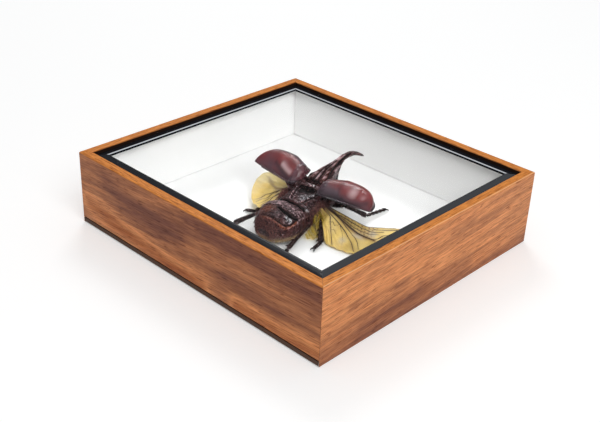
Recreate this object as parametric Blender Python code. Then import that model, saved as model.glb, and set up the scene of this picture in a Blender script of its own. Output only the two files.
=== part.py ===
"""A horned beetle with its wings spread, on the white board of a glazed wooden display box.

Every length below is in millimetres; MM turns it into metres where a mesh is made.
The box stands on z = 0 with its centre on the z axis. The beetle is modelled in a frame
of its own: x to its right, y to its front, z up from the white board.
"""

import math

import bmesh
import bpy
from mathutils import Matrix, Vector

MM = 0.001
GAP = 0.3

# The box
BOX_WIDTH = 200.0
BOX_DEPTH = 184.0
BOX_HEIGHT = 48.0
RAIL_THICKNESS = 5.7
RAIL_OUTER_ROUND = 0.9
RAIL_INNER_ROUND = 0.4
RAIL_FOOT_ROUND = 0.5
MITRE_SLACK = 0.22
BASE_THICKNESS = 3.4
BASE_CHAMFER = 0.8
BASE_REVEAL = 0.5
BOARD_TOP = 8.2
LINER_THICKNESS = 1.6
GLASS_TOP = 44.8
GLASS_THICKNESS = 2.0
STRIP_WIDTH = 6.8
STRIP_OUTER_TOP = 45.6
STRIP_CREST = 46.5
STRIP_CREST_INSET = 5.7
STRIP_EDGE_TOP = 46.1

# The beetle's place in the box
BEETLE_X = 1.0
BEETLE_Y = 6.5
BEETLE_TURN = 7.0

# Its trunk. A station is (y and z of the underside, y and z of the back, half width), from hind to
# front, and on the pronotum also the share by which the upper part is narrower
ABDOMEN_TAIL = (0.0, -48.2, 10.0)
ABDOMEN = [
    ((-47.6, 7.6), (-47.4, 12.4), 4.4),
    ((-46.4, 5.8), (-46.0, 15.2), 7.2),
    ((-44.6, 4.6), (-44.4, 17.4), 9.6),
    ((-42.4, 3.9), (-42.4, 18.9), 11.4),
    ((-40.0, 3.3), (-40.0, 19.9), 12.8),
    ((-36.6, 2.7), (-36.6, 20.6), 13.8),
    ((-33.0, 2.2), (-33.0, 20.8), 14.2),
    ((-31.4, 2.1), (-31.4, 20.7), 14.1),
    ((-30.4, 2.0), (-30.4, 20.6), 14.0),
    ((-29.4, 2.0), (-29.4, 20.5), 13.9),
    ((-26.4, 2.1), (-26.4, 19.6), 13.1),
    ((-24.0, 2.6), (-24.0, 18.4), 12.0),
    ((-22.9, 3.4), (-22.9, 17.2), 10.8),
]
ABDOMEN_SLIT = -30.4
THORAX = [
    ((-22.6, 3.8), (-22.6, 18.0), 10.8),
    ((-22.1, 3.0), (-22.1, 19.6), 11.7),
    ((-20.9, 2.8), (-20.9, 19.9), 12.0),
    ((-19.6, 2.8), (-19.6, 19.0), 12.1),
    ((-14.0, 3.0), (-14.0, 20.2), 12.3),
    ((-9.0, 3.2), (-9.0, 21.3), 12.3),
    ((-6.6, 3.4), (-6.6, 21.6), 12.1),
    ((-5.6, 3.5), (-5.6, 22.7), 11.9),
    ((-2.6, 3.8), (-2.6, 23.2), 11.4),
    ((-1.0, 4.2), (-1.0, 22.6), 11.0),
    ((-0.3, 5.0), (-0.3, 21.4), 10.0),
]
PRONOTUM = [
    ((0.0, 6.6), (0.0, 22.2), 11.0, 0.0),
    ((0.5, 5.6), (0.5, 23.6), 12.2, 0.0),
    ((2.6, 5.0), (2.6, 25.4), 12.7, 0.06),
    ((6.0, 4.8), (6.0, 27.0), 12.8, 0.2),
    ((10.0, 5.0), (10.0, 28.4), 12.3, 0.36),
    ((13.6, 5.4), (14.0, 29.2), 11.0, 0.48),
    ((16.4, 6.4), (18.0, 29.8), 8.5, 0.54),
    ((17.8, 9.4), (21.6, 30.2), 5.3, 0.47),
    ((18.6, 14.6), (25.0, 30.7), 3.3, 0.25),
    ((19.4, 19.8), (28.2, 31.1), 2.4, 0.0),
    ((21.6, 24.6), (31.4, 31.3), 2.1, 0.0),
    ((27.2, 27.4), (34.6, 31.2), 1.9, 0.0),
    ((34.0, 27.9), (37.8, 30.8), 1.9, 0.0),
    ((39.4, 27.3), (41.4, 29.7), 1.7, 0.0),
    ((43.6, 26.0), (45.2, 28.0), 1.4, 0.0),
    ((47.4, 24.3), (48.8, 25.9), 1.1, 0.0),
    ((50.8, 22.8), (51.8, 23.9), 0.8, 0.0),
]
HORN_TIP = (54.3, 21.5)
HEAD = [
    ((14.0, 6.6), (14.0, 9.6), 3.4),
    ((16.0, 4.6), (16.0, 11.4), 5.6),
    ((20.0, 3.4), (20.0, 12.8), 7.0),
    ((24.0, 2.8), (24.0, 13.2), 7.2),
    ((28.0, 2.8), (28.0, 12.0), 6.4),
    ((30.8, 3.2), (30.8, 9.8), 5.2),
    ((33.2, 3.8), (33.2, 7.6), 4.2),
    ((34.4, 4.6), (34.4, 6.6), 3.0),
]
TRUNK_SIDES = 28
HEAD_SIDES = 16
ROUND = 0.88
BROAD_BACKED = 0.78
FLAT_BACKED = 0.72
CLEARANCE = 0.6

# Wing cases: the inner edge is straight, and the base is the inner corner at the body. Each is
# tilted by its roll, droop and sweep, in degrees. A rounded shoulder closes the end at the body
CASE_LENGTH = 33.8
CASE_WIDTH = 19.4
CASE_HEIGHT = 8.25
CASE_THICKNESS = 1.0
CASE_SHOULDER = 2.7
CASE_BULGE = 1.7
CASE_BASE_LEFT = (-12.8, -9.6, 23.0)
CASE_BASE_RIGHT = (12.2, -11.1, 23.1)
CASE_TILT_LEFT = (9.7, -0.6, 13.0)
CASE_TILT_RIGHT = (-3.2, 0.1, 4.2)
SHOULDER_TURNS = (86.0, 58.0, 30.0)
CASE_STEPS = 14
CASE_SPREAD = 10

# Hindwings: lines across the ribs from the root to the margin, each from the front edge to the hind
# edge. The right one bends at its middle line, and has a notch for the middle leg
WING_THICKNESS = 0.45
WING_ROWS = 4
WING_FOLD = 0.3
WING_SAG = 0.9
WING_RIGHT = [
    [(13.3, -5.0, 13.2), (13.4, -9.0, 15.0), (13.4, -13.0, 16.2), (13.3, -17.0, 14.0)],
    [
        (40.1, -1.4, 8.3), (40.6, -2.6, 8.1), (40.9, -4.4, 7.7), (40.2, -7.0, 7.0),
        (38.0, -10.2, 6.4), (34.8, -13.2, 6.0), (31.6, -15.0, 5.8), (28.6, -15.9, 5.8),
        (25.8, -16.4, 6.2), (23.2, -16.5, 6.8), (21.0, -15.4, 7.7), (14.8, -12.2, 13.2),
        (15.4, -15.0, 11.4), (17.2, -18.0, 6.6), (16.6, -19.8, 4.6), (14.6, -20.6, 4.6),
        (13.6, -18.6, 8.6),
    ],
    [
        (53.0, 11.8, 6.3), (62.0, 17.5, 5.6), (66.0, 11.5, 5.0), (63.5, 1.0, 4.2),
        (58.5, -10.0, 3.2), (52.5, -18.5, 2.2), (47.4, -22.0, 1.9), (42.0, -23.4, 1.7),
        (36.2, -23.8, 1.7), (30.4, -23.8, 1.7), (26.6, -23.0, 1.2), (15.8, -13.2, 12.0),
        (16.4, -16.6, 9.4), (19.8, -20.4, 1.8), (18.4, -24.4, 1.5), (15.0, -25.8, 1.5),
        (12.8, -25.0, 3.0),
    ],
]
WING_LEFT = [
    [(-13.2, -4.0, 18.4), (-13.4, -8.0, 17.6), (-13.4, -12.0, 16.2), (-13.3, -16.0, 13.8)],
    [
        (-21.6, 1.0, 17.0), (-28.7, 1.2, 15.0), (-30.0, -2.0, 13.6), (-29.5, -5.6, 12.4),
        (-27.9, -9.2, 11.2), (-25.5, -12.4, 10.2), (-22.3, -15.8, 10.4), (-18.7, -18.2, 10.8),
        (-15.5, -19.0, 11.4),
    ],
    [
        (-30.0, 6.0, 16.0), (-44.0, 9.0, 13.0), (-46.6, 4.0, 10.6), (-45.6, -1.2, 8.6),
        (-42.4, -8.0, 6.4), (-37.6, -14.0, 5.4), (-31.4, -19.8, 6.6), (-24.0, -23.6, 7.8),
        (-17.6, -23.0, 9.4),
    ],
]

# Legs: where each one leaves the body, its knee, its ankle and its toe
LEGS = {
    "leg_front_right": ((7.6, 9.5, 7.0), (16.6, 9.4, 9.4), (27.8, 17.8, 3.2), (30.6, 34.2, 1.7)),
    "leg_mid_right": ((8.4, -8.0, 5.6), (15.8, -13.3, 7.8), (25.3, -26.0, 2.9), (25.0, -31.8, 1.7)),
    "leg_hind_right": ((9.0, -15.6, 5.6), (13.6, -23.6, 7.6), (15.0, -44.2, 3.0), (19.4, -55.0, 1.7)),
    "leg_front_left": ((-7.6, 9.5, 7.0), (-15.6, 15.4, 8.6), (-17.6, 26.4, 3.2), (-25.6, 20.0, 1.7)),
    "leg_mid_left": ((-8.4, -8.0, 5.6), (-19.0, -12.0, 8.6), (-27.4, -22.0, 2.8), (-33.6, -22.6, 1.7)),
    "leg_hind_left": ((-9.0, -15.6, 5.6), (-16.4, -27.6, 9.4), (-27.4, -42.6, 3.4), (-33.4, -50.0, 1.7)),
}
LEG_SIDES = 8
THIGH_SHAPE = [(0.0, 1.2), (0.25, 1.9), (0.55, 2.0), (0.85, 1.5), (0.98, 1.2)]
SHIN_SHAPE = [(0.05, 1.0), (0.3, 1.15), (0.7, 1.4), (0.93, 1.6), (1.0, 1.0)]
FOOT_JOINTS = 4
FOOT_THICK = 0.72
FOOT_THIN = 0.48
SPUR_LENGTH = 2.2
SPUR_PLACES = (0.5, 0.74, 0.96)
CLAW_RADIUS = 1.9
CLAW_THICKNESS = 0.42
CLAW_SPREAD = 32.0
CLAW_BEND = 105.0

# Feelers
FEELER_PATH = [(6.2, 27.4, 8.0), (8.4, 29.8, 8.8), (10.0, 31.4, 8.0), (11.2, 32.4, 6.4), (12.4, 33.0, 5.2)]
FEELER_RADII = [0.5, 0.45, 0.55, 1.3, 0.5]


def clear_objects():
    for thing in list(bpy.data.objects):
        bpy.data.objects.remove(thing, do_unlink=True)


def finish(name, colour, roughness, metallic=0.0, alpha=1.0):
    """A Principled material."""
    look = bpy.data.materials.new(name)
    look.use_nodes = True
    shader = look.node_tree.nodes["Principled BSDF"]
    shader.inputs["Base Color"].default_value = (*colour, 1.0)
    shader.inputs["Roughness"].default_value = roughness
    shader.inputs["Metallic"].default_value = metallic
    shader.inputs["Alpha"].default_value = alpha
    return look


def add_object(name, points, faces, look, parent=None, smooth_angle=None):
    """One named object from points in millimetres."""
    mesh = bpy.data.meshes.new(name)
    mesh.from_pydata([Vector(p) * MM for p in points], [], faces)
    tidy = bmesh.new()
    tidy.from_mesh(mesh)
    bmesh.ops.recalc_face_normals(tidy, faces=tidy.faces)
    tidy.to_mesh(mesh)
    tidy.free()
    mesh.materials.append(look)
    if smooth_angle:
        mesh.shade_smooth()
        mesh.set_sharp_from_angle(angle=math.radians(smooth_angle))
    thing = bpy.data.objects.new(name, mesh)
    bpy.context.scene.collection.objects.link(thing)
    thing.parent = parent
    return thing


def corner_arc(inset, z, radius, start, steps=3):
    """Points of a quarter round, from the angle start, in degrees, clockwise."""
    angles = [math.radians(start - 90.0 * k / steps) for k in range(steps + 1)]
    return [(inset + radius * math.cos(a), z + radius * math.sin(a)) for a in angles]


def band(first, second):
    """The faces between two rings of point numbers."""
    count = len(first)
    return [
        (first[k], first[(k + 1) % count], second[(k + 1) % count], second[k])
        for k in range(count)
    ]


# ---------------------------------------------------------------- the box

SIDES = {"front": (0, -1), "right": (1, 0), "back": (0, 1), "left": (-1, 0)}


def mitred_length(name, side, profile, look, smooth_angle=None):
    """A length of moulding with mitred ends. A profile point is (inset from the outside, z)."""
    outward = Vector((*SIDES[side], 0.0))
    along = Vector((-outward.y, outward.x, 0.0))
    reach = BOX_WIDTH / 2 if outward.x else BOX_DEPTH / 2
    half_length = BOX_DEPTH / 2 if outward.x else BOX_WIDTH / 2
    points = []
    for end in (-1, 1):
        for inset, z in profile:
            run = end * (half_length - inset - MITRE_SLACK)
            points.append(outward * (reach - inset) + along * run + Vector((0, 0, z)))
    count = len(profile)
    near = list(range(count))
    far = list(range(count, 2 * count))
    faces = band(near, far) + [tuple(near), tuple(reversed(far))]
    return add_object(name, points, faces, look, smooth_angle=smooth_angle)


def rail(side, look):
    """A wooden side of the box. The base board takes the place of the front and back rails' feet."""
    covers_base = side in ("left", "right")
    foot = 0.0 if covers_base else BASE_THICKNESS + BASE_REVEAL
    profile = [(RAIL_THICKNESS, foot)]
    profile += corner_arc(RAIL_FOOT_ROUND, foot + RAIL_FOOT_ROUND, RAIL_FOOT_ROUND, 270)
    profile += corner_arc(RAIL_OUTER_ROUND, BOX_HEIGHT - RAIL_OUTER_ROUND, RAIL_OUTER_ROUND, 180)
    inner = RAIL_THICKNESS - RAIL_INNER_ROUND
    profile += corner_arc(inner, BOX_HEIGHT - RAIL_INNER_ROUND, RAIL_INNER_ROUND, 90)
    return mitred_length("rail_" + side, side, profile, look, smooth_angle=40)


def glazing_strip(side, look):
    """The black strip that keeps the glass in: a low outer edge and a raised inner bead."""
    outer = RAIL_THICKNESS + GAP
    foot = GLASS_TOP + GAP
    profile = [
        (outer, foot),
        (outer, STRIP_OUTER_TOP),
        (outer + STRIP_CREST_INSET - 1.0, STRIP_CREST - 0.25),
        (outer + STRIP_CREST_INSET, STRIP_CREST),
        (outer + STRIP_WIDTH - 0.4, STRIP_CREST - 0.05),
        (outer + STRIP_WIDTH, STRIP_EDGE_TOP),
        (outer + STRIP_WIDTH, foot),
    ]
    return mitred_length("strip_" + side, side, profile, look)


def base_board(look):
    """The bottom. Its ends are cut at 45 degrees to meet the mitres of the side rails."""
    half_x = BOX_WIDTH / 2
    half_y = BOX_DEPTH / 2
    cut = RAIL_THICKNESS + GAP

    def outline(shrink, z):
        corner = half_x - GAP - shrink * 0.5
        shoulder = half_x - cut - shrink * 0.5
        side = half_y - RAIL_THICKNESS
        edge = half_y - shrink
        ring = [(corner - shrink, -edge), (shoulder, -side), (shoulder, side), (corner - shrink, edge)]
        return [(x, y, z) for x, y in ring] + [(-x, y, z) for x, y in reversed(ring)]

    levels = [outline(BASE_CHAMFER, 0.0), outline(0.0, BASE_CHAMFER), outline(0.0, BASE_THICKNESS)]
    count = len(levels[0])
    points = [p for level in levels for p in level]
    rings = [list(range(k * count, (k + 1) * count)) for k in range(3)]
    faces = band(rings[0], rings[1]) + band(rings[1], rings[2])
    faces += [tuple(rings[0]), tuple(reversed(rings[2]))]
    return add_object("base_board", points, faces, look)


def slab(name, low, high, look):
    """A plain rectangular sheet between two corners."""
    points = [(x, y, z) for z in (low[2], high[2]) for y in (low[1], high[1]) for x in (low[0], high[0])]
    faces = [(0, 2, 3, 1), (4, 5, 7, 6), (0, 1, 5, 4), (2, 6, 7, 3), (0, 4, 6, 2), (1, 3, 7, 5)]
    return add_object(name, points, faces, look)


def build_lining(white, clear):
    """The white board, the four white walls that stand on it, and the glass that they carry."""
    half_x = BOX_WIDTH / 2 - RAIL_THICKNESS - GAP
    half_y = BOX_DEPTH / 2 - RAIL_THICKNESS - GAP
    foot = BOARD_TOP + GAP
    head = GLASS_TOP - GLASS_THICKNESS - GAP
    inner_x = half_x - LINER_THICKNESS
    inner_y = half_y - LINER_THICKNESS
    slab("mount_board", (-half_x, -half_y, BASE_THICKNESS + GAP), (half_x, half_y, BOARD_TOP), white)
    slab("liner_left", (-half_x, -half_y, foot), (-inner_x, half_y, head), white)
    slab("liner_right", (inner_x, -half_y, foot), (half_x, half_y, head), white)
    slab("liner_front", (GAP - inner_x, -half_y, foot), (inner_x - GAP, -inner_y, head), white)
    slab("liner_back", (GAP - inner_x, inner_y, foot), (inner_x - GAP, half_y, head), white)
    slab("glass", (-half_x, -half_y, GLASS_TOP - GLASS_THICKNESS), (half_x, half_y, GLASS_TOP), clear)


# ---------------------------------------------------------------- the trunk

def signed_power(value, power):
    return math.copysign(abs(value) ** power, value)


def trunk_ring(station, sides, roundness, relief=None, grow=0.0):
    """One cross-section. Point 0 is in the middle of the back, and the ring runs to the right."""
    low, top, half_width, *pinch = station
    pinch = pinch[0] if pinch else 0.0
    centre = Vector((0.0, (low[0] + top[0]) / 2, (low[1] + top[1]) / 2))
    rise = Vector((0.0, (top[0] - low[0]) / 2, (top[1] - low[1]) / 2))
    rise += rise.normalized() * grow
    ring = []
    for k in range(sides):
        angle = 2 * math.pi * k / sides
        up = signed_power(math.cos(angle), roundness)
        narrowing = 1.0 - pinch * min(1.0, max(0.0, (up + 0.6) / 0.9))
        across = signed_power(math.sin(angle), roundness) * (half_width * narrowing + grow)
        point = centre + Vector((across, 0, 0)) + rise * up
        if relief:
            point += (point - centre).normalized() * relief(point)
        ring.append(point)
    return ring


def lofted(name, rings, look, parent, start_tip=None, end_tip=None, smooth_angle=50):
    """A closed skin over a row of rings, ended by a point or by a flat fan."""
    sides = len(rings[0])
    points = [p for ring in rings for p in ring]
    faces = []
    for k in range(len(rings) - 1):
        first = list(range(k * sides, (k + 1) * sides))
        faces += band(first, [n + sides for n in first])
    for ring_number, tip in ((0, start_tip), (len(rings) - 1, end_tip)):
        ring = rings[ring_number]
        tip = Vector(tip) if tip else sum(ring, Vector()) / sides
        points.append(tip)
        hub = len(points) - 1
        start = ring_number * sides
        faces += [(start + n, start + (n + 1) % sides, hub) for n in range(sides)]
    return add_object(name, points, faces, look, parent, smooth_angle)


def abdomen_relief(point):
    """A groove across the back, behind the first plate."""
    return -1.0 if point.z > 16.0 and abs(point.y - ABDOMEN_SLIT) < 0.5 else 0.0


def thorax_relief(point):
    """A hollow in the back, wider towards the front, with a ridge along each side of it."""
    if point.z < 15.0 or not -19.7 < point.y < -6.0:
        return 0.0
    edge = 3.0 + 0.42 * (point.y + 20.0)
    place = abs(point.x) / edge
    if place < 0.8:
        return 1.6 * (place * place - 0.64)
    return 0.5 if place < 1.35 else 0.0


def pronotum_relief(point):
    """A ridge along the middle and one on each side, from the hind edge of the shield into the horn."""
    if point.z < 18.0 or not 2.0 < point.y < 30.0:
        return 0.0
    spread = 1.0 - 0.028 * point.y
    return 0.45 * spread * math.cos(abs(point.x) * 1.15 / spread)


def trunk_rings(stations, roundness=ROUND, relief=None, grow=0.0, sides=TRUNK_SIDES):
    return [trunk_ring(station, sides, roundness, relief, grow) for station in stations]


def build_trunk(look, parent):
    """Abdomen, thorax, and the shield with its horn."""
    hind = trunk_rings(ABDOMEN, BROAD_BACKED, abdomen_relief)
    lofted("abdomen", hind, look, parent, start_tip=ABDOMEN_TAIL)
    lofted("thorax", trunk_rings(THORAX, FLAT_BACKED, thorax_relief), look, parent)
    horned = trunk_rings(PRONOTUM, ROUND, pronotum_relief)
    lofted("pronotum", horned, look, parent, end_tip=(0.0, *HORN_TIP))


def build_cutter(name, rings, ahead, look, parent):
    """A slightly larger copy of a part of the trunk, to trim its neighbours."""
    cutter = lofted(name, rings, look, parent)
    cutter.location = Vector((0, ahead, 0)) * MM
    cutter.hide_render = True
    cutter.display_type = "WIRE"
    return cutter


def trim(thing, cutter):
    """Cuts thing back from cutter, and joins thing's own overlapping shapes."""
    cut = thing.modifiers.new("trim", "BOOLEAN")
    cut.operation = "DIFFERENCE"
    cut.solver = "EXACT"
    cut.use_self = True
    cut.object = cutter


# ---------------------------------------------------------------- limbs

def tube_parts(path, radii, sides, offset):
    """Points and faces of a closed tube along a path. Face numbers start at offset."""
    path = [Vector(p) for p in path]
    points = []
    faces = []
    side_way = None
    for k, centre in enumerate(path):
        before = path[max(k - 1, 0)]
        after = path[min(k + 1, len(path) - 1)]
        ahead = (after - before).normalized()
        if side_way is None:
            side_way = ahead.orthogonal().normalized()
        side_way = (side_way - ahead * side_way.dot(ahead)).normalized()
        up_way = ahead.cross(side_way)
        for n in range(sides):
            angle = 2 * math.pi * n / sides
            points.append(centre + (side_way * math.cos(angle) + up_way * math.sin(angle)) * radii[k])
    for k in range(len(path) - 1):
        first = [offset + k * sides + n for n in range(sides)]
        faces += band(first, [n + sides for n in first])
    last = offset + (len(path) - 1) * sides
    faces.append(tuple(offset + n for n in reversed(range(sides))))
    faces.append(tuple(last + n for n in range(sides)))
    return points, faces


class Limb:
    """Collects closed tubes in one mesh."""

    def __init__(self):
        self.points = []
        self.faces = []

    def tube(self, path, radii, sides):
        points, faces = tube_parts(path, radii, sides, len(self.points))
        self.points += points
        self.faces += faces


def add_spurs(limb, knee, ankle):
    """Short teeth along the shin."""
    run = ankle - knee
    outward = Vector((run.x, run.y, 0)).normalized().cross(Vector((0, 0, 1)))
    outward *= math.copysign(1, outward.dot(Vector((0, -1, 0))))
    for place in SPUR_PLACES:
        root = knee + run * place
        tip = root + (outward * 0.8 + run.normalized() * 0.6).normalized() * SPUR_LENGTH
        limb.tube([root, tip], [0.75, 0.12], 5)


def add_claws(limb, ankle, toe):
    """Two hooks at the end of the foot that part and bend down."""
    ahead = Vector((toe.x - ankle.x, toe.y - ankle.y, 0)).normalized()
    down = Vector((0, 0, -1))
    for turn in (-CLAW_SPREAD, CLAW_SPREAD):
        way = Matrix.Rotation(math.radians(turn), 3, "Z") @ ahead
        path = [toe - way * 0.5]
        for k in range(4):
            bend = math.radians(CLAW_BEND * (k + 1) / 4)
            path.append(toe + way * math.sin(bend) * CLAW_RADIUS + down * (1 - math.cos(bend)) * 0.85)
        limb.tube(path, [CLAW_THICKNESS * (1.0 - 0.2 * k) for k in range(5)], 5)


def build_leg(name, stops, look, parent, cutter):
    """Thigh, shin with spurs, jointed foot and claws."""
    root, knee, ankle, toe = (Vector(p) for p in stops)
    path = [root + (knee - root) * t for t, _ in THIGH_SHAPE]
    radii = [r for _, r in THIGH_SHAPE]
    path += [knee + (ankle - knee) * t for t, _ in SHIN_SHAPE]
    radii += [r for _, r in SHIN_SHAPE]
    foot_start = ankle + (toe - ankle) * 0.06
    for joint in range(FOOT_JOINTS):
        for t, radius in ((0.12, FOOT_THIN), (0.8, FOOT_THICK)):
            path.append(foot_start.lerp(toe, (joint + t) / FOOT_JOINTS))
            radii.append(radius)
    path.append(toe)
    radii.append(FOOT_THIN)
    limb = Limb()
    limb.tube(path, radii, LEG_SIDES)
    add_spurs(limb, knee, ankle)
    add_claws(limb, ankle, toe)
    leg = add_object(name, limb.points, limb.faces, look, parent, smooth_angle=45)
    trim(leg, cutter)
    return leg


def build_head(look, parent, cutter):
    head = lofted("head", trunk_rings(HEAD, sides=HEAD_SIDES), look, parent)
    trim(head, cutter)


def build_feeler(name, side, look, parent, cutter):
    limb = Limb()
    path = [(side * x, y, z) for x, y, z in FEELER_PATH]
    limb.tube(path, FEELER_RADII, 6)
    feeler = add_object(name, limb.points, limb.faces, look, parent, smooth_angle=50)
    trim(feeler, cutter)


# ---------------------------------------------------------------- wings

def case_point(turn, along, across):
    """A point of a wing case. across runs from the straight inner edge, 0, to the outer edge, 1.

    turn is 0 from the base outward, and rises to a right angle over the shoulder.
    """
    width = CASE_WIDTH * (0.88 + 0.12 * min(1.0, along / 0.3)) * (1.0 - along ** 4.2) ** 0.5
    pinch = CASE_WIDTH * 0.12 * (1.0 - math.cos(turn))
    inset = CASE_WIDTH * 0.06 * max(0.0, (along - 0.8) / 0.2) ** 2 + pinch
    lean = across ** 1.6
    crown = (1.0 - abs(2.0 * lean - 1.0) ** 2.2) ** 0.62
    rise = (0.8 + 0.2 * min(1.0, along / 0.3)) * (1.0 - along ** 5.2) ** 0.5 * math.cos(turn) ** 0.8
    shoulder = CASE_SHOULDER * (1.0 - 0.5 * across) + CASE_BULGE * math.sin(math.pi * across)
    length = CASE_LENGTH * along - shoulder * math.sin(turn)
    return Vector((length, inset + (width - pinch - inset) * across, CASE_HEIGHT * crown * rise))


def build_wing_case(name, base, tilt, look, parent):
    """A domed shell, swung out from the body."""
    side = math.copysign(1, base[0])
    rows = [(math.radians(turn), 0.0) for turn in SHOULDER_TURNS]
    rows += [(0.0, 0.985 * row / CASE_STEPS) for row in range(CASE_STEPS + 1)]
    points = []
    for turn, along in rows:
        for column in range(CASE_SPREAD + 1):
            across = (1.0 - math.cos(math.pi * column / CASE_SPREAD)) / 2
            x, y, z = case_point(turn, along, across)
            points.append((side * x, y, z))
    case = add_object(name, points, grid_faces(len(rows) - 1, CASE_SPREAD), look, parent, smooth_angle=60)
    if case.data.polygons[CASE_SPREAD * CASE_STEPS // 2].normal.z < 0:
        case.data.flip_normals()
    case.location = Vector(base) * MM
    roll, droop, sweep = tilt
    case.rotation_euler = [math.radians(a) for a in (roll, side * droop, side * sweep)]
    skin = case.modifiers.new("thickness", "SOLIDIFY")
    skin.thickness = CASE_THICKNESS * MM
    skin.offset = -1.0


def grid_faces(rows, columns):
    stride = columns + 1
    corners = [row * stride + column for row in range(rows) for column in range(columns)]
    return [(n, n + 1, n + stride + 1, n + stride) for n in corners]


def along_line(points, place):
    """A point on a polyline at place, from 0 to 1."""
    spot = place * (len(points) - 1)
    k = min(int(spot), len(points) - 2)
    return Vector(points[k]).lerp(Vector(points[k + 1]), spot - k)


def build_hindwing(name, lines, look, parent):
    """A thin pleated membrane, through lines that run across its ribs."""
    columns = 2 * (len(lines[-1]) - 1)
    rows = WING_ROWS * (len(lines) - 1)
    points = []
    for row in range(rows + 1):
        out = row / rows
        part = min(row // WING_ROWS, len(lines) - 2)
        share = row / WING_ROWS - part
        for column in range(columns + 1):
            start = along_line(lines[part], column / columns)
            end = along_line(lines[part + 1], column / columns)
            point = start.lerp(end, share)
            pleat = WING_FOLD if column % 2 else -WING_FOLD
            point.z += pleat * min(1.0, 3.0 * out) - WING_SAG * math.sin(math.pi * out)
            points.append(point)
    wing = add_object(name, points, grid_faces(rows, columns), look, parent, smooth_angle=30)
    skin = wing.modifiers.new("thickness", "SOLIDIFY")
    skin.thickness = WING_THICKNESS * MM
    skin.offset = 0.0


# ---------------------------------------------------------------- the whole

def build_box():
    wood = finish("varnished_wood", (0.42, 0.16, 0.07), 0.38)
    for side in SIDES:
        rail(side, wood)
    black = finish("black_strip", (0.02, 0.02, 0.025), 0.35)
    for side in SIDES:
        glazing_strip(side, black)
    base_board(finish("dark_board", (0.12, 0.09, 0.07), 0.7))
    white = finish("white_board", (0.9, 0.9, 0.9), 0.8)
    clear = finish("clear_glass", (1.0, 1.0, 1.0), 0.02, alpha=0.2)
    build_lining(white, clear)


def build_beetle():
    place = bpy.data.objects.new("beetle_place", None)
    bpy.context.scene.collection.objects.link(place)
    place.location = Vector((BEETLE_X, BEETLE_Y, BOARD_TOP)) * MM
    place.rotation_euler = (0.0, 0.0, math.radians(BEETLE_TURN))
    trunk = finish("dark_shell", (0.05, 0.015, 0.018), 0.3)
    case = finish("red_brown_shell", (0.16, 0.025, 0.028), 0.25)
    limb = finish("black_shell", (0.02, 0.012, 0.012), 0.35)
    membrane = finish("amber_membrane", (0.75, 0.55, 0.2), 0.3, alpha=0.75)
    build_trunk(trunk, place)
    thorax_rings = trunk_rings(THORAX, FLAT_BACKED, thorax_relief, CLEARANCE)
    pronotum_rings = trunk_rings(PRONOTUM[:9], ROUND, pronotum_relief, CLEARANCE)
    thorax_cutter = build_cutter("thorax_cutter", thorax_rings, 0.0, trunk, place)
    pronotum_cutter = build_cutter("pronotum_cutter", pronotum_rings, CLEARANCE, trunk, place)
    build_head(trunk, place, pronotum_cutter)
    for name, stops in LEGS.items():
        cutter = pronotum_cutter if "front" in name else thorax_cutter
        build_leg(name, stops, limb, place, cutter)
    build_wing_case("wing_case_left", CASE_BASE_LEFT, CASE_TILT_LEFT, case, place)
    build_wing_case("wing_case_right", CASE_BASE_RIGHT, CASE_TILT_RIGHT, case, place)
    build_hindwing("hindwing_left", WING_LEFT, membrane, place)
    build_hindwing("hindwing_right", WING_RIGHT, membrane, place)
    head_rings = trunk_rings(HEAD, grow=CLEARANCE, sides=HEAD_SIDES)
    head_cutter = build_cutter("head_cutter", head_rings, 0.0, trunk, place)
    build_feeler("feeler_left", -1, limb, place, head_cutter)
    build_feeler("feeler_right", 1, limb, place, head_cutter)


def main():
    clear_objects()
    build_box()
    build_beetle()


main()
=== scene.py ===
"""A horned beetle with spread wings in a glazed wooden display box, and the studio it stands in.

The numbers in formulas and lists are millimetres; MM turns them into metres where a mesh is made.
The box stands on z = 0 with its centre on the z axis. The beetle is shaped in a frame of its own:
x to its right, y to its front, z up from the white board.
"""

import itertools
import math

import bmesh
import bpy
import numpy as np
from bpy.props import FloatProperty, FloatVectorProperty, IntProperty, PointerProperty
from mathutils import Matrix, Vector


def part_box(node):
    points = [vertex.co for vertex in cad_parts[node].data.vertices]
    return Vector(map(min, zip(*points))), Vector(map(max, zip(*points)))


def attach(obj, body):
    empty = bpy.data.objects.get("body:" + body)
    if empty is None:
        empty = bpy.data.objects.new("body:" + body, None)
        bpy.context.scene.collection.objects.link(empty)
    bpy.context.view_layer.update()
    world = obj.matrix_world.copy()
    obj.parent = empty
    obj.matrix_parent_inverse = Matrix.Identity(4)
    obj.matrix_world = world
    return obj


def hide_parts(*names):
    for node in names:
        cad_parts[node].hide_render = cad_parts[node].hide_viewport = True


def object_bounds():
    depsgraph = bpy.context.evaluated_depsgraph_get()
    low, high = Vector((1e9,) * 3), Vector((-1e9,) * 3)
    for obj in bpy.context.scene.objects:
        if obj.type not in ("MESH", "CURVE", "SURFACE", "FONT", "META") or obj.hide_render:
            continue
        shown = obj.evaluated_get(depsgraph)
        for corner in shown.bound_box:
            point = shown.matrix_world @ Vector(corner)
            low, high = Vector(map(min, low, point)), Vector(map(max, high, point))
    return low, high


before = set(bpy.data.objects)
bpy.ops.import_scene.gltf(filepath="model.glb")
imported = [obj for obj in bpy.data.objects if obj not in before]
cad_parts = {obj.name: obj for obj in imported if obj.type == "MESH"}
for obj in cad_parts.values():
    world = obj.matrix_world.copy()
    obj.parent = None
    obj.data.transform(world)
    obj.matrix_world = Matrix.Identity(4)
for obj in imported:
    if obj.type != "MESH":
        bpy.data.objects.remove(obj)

bl_info = {
    "name": "Beetle in a Display Box",
    "version": (1, 0, 0),
    "blender": (4, 5, 0),
    "location": "3D View > Sidebar > Beetle Box",
    "description": "Builds a mounted horned beetle in a glazed wooden box, ready to light and look at",
    "category": "Object",
}

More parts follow.
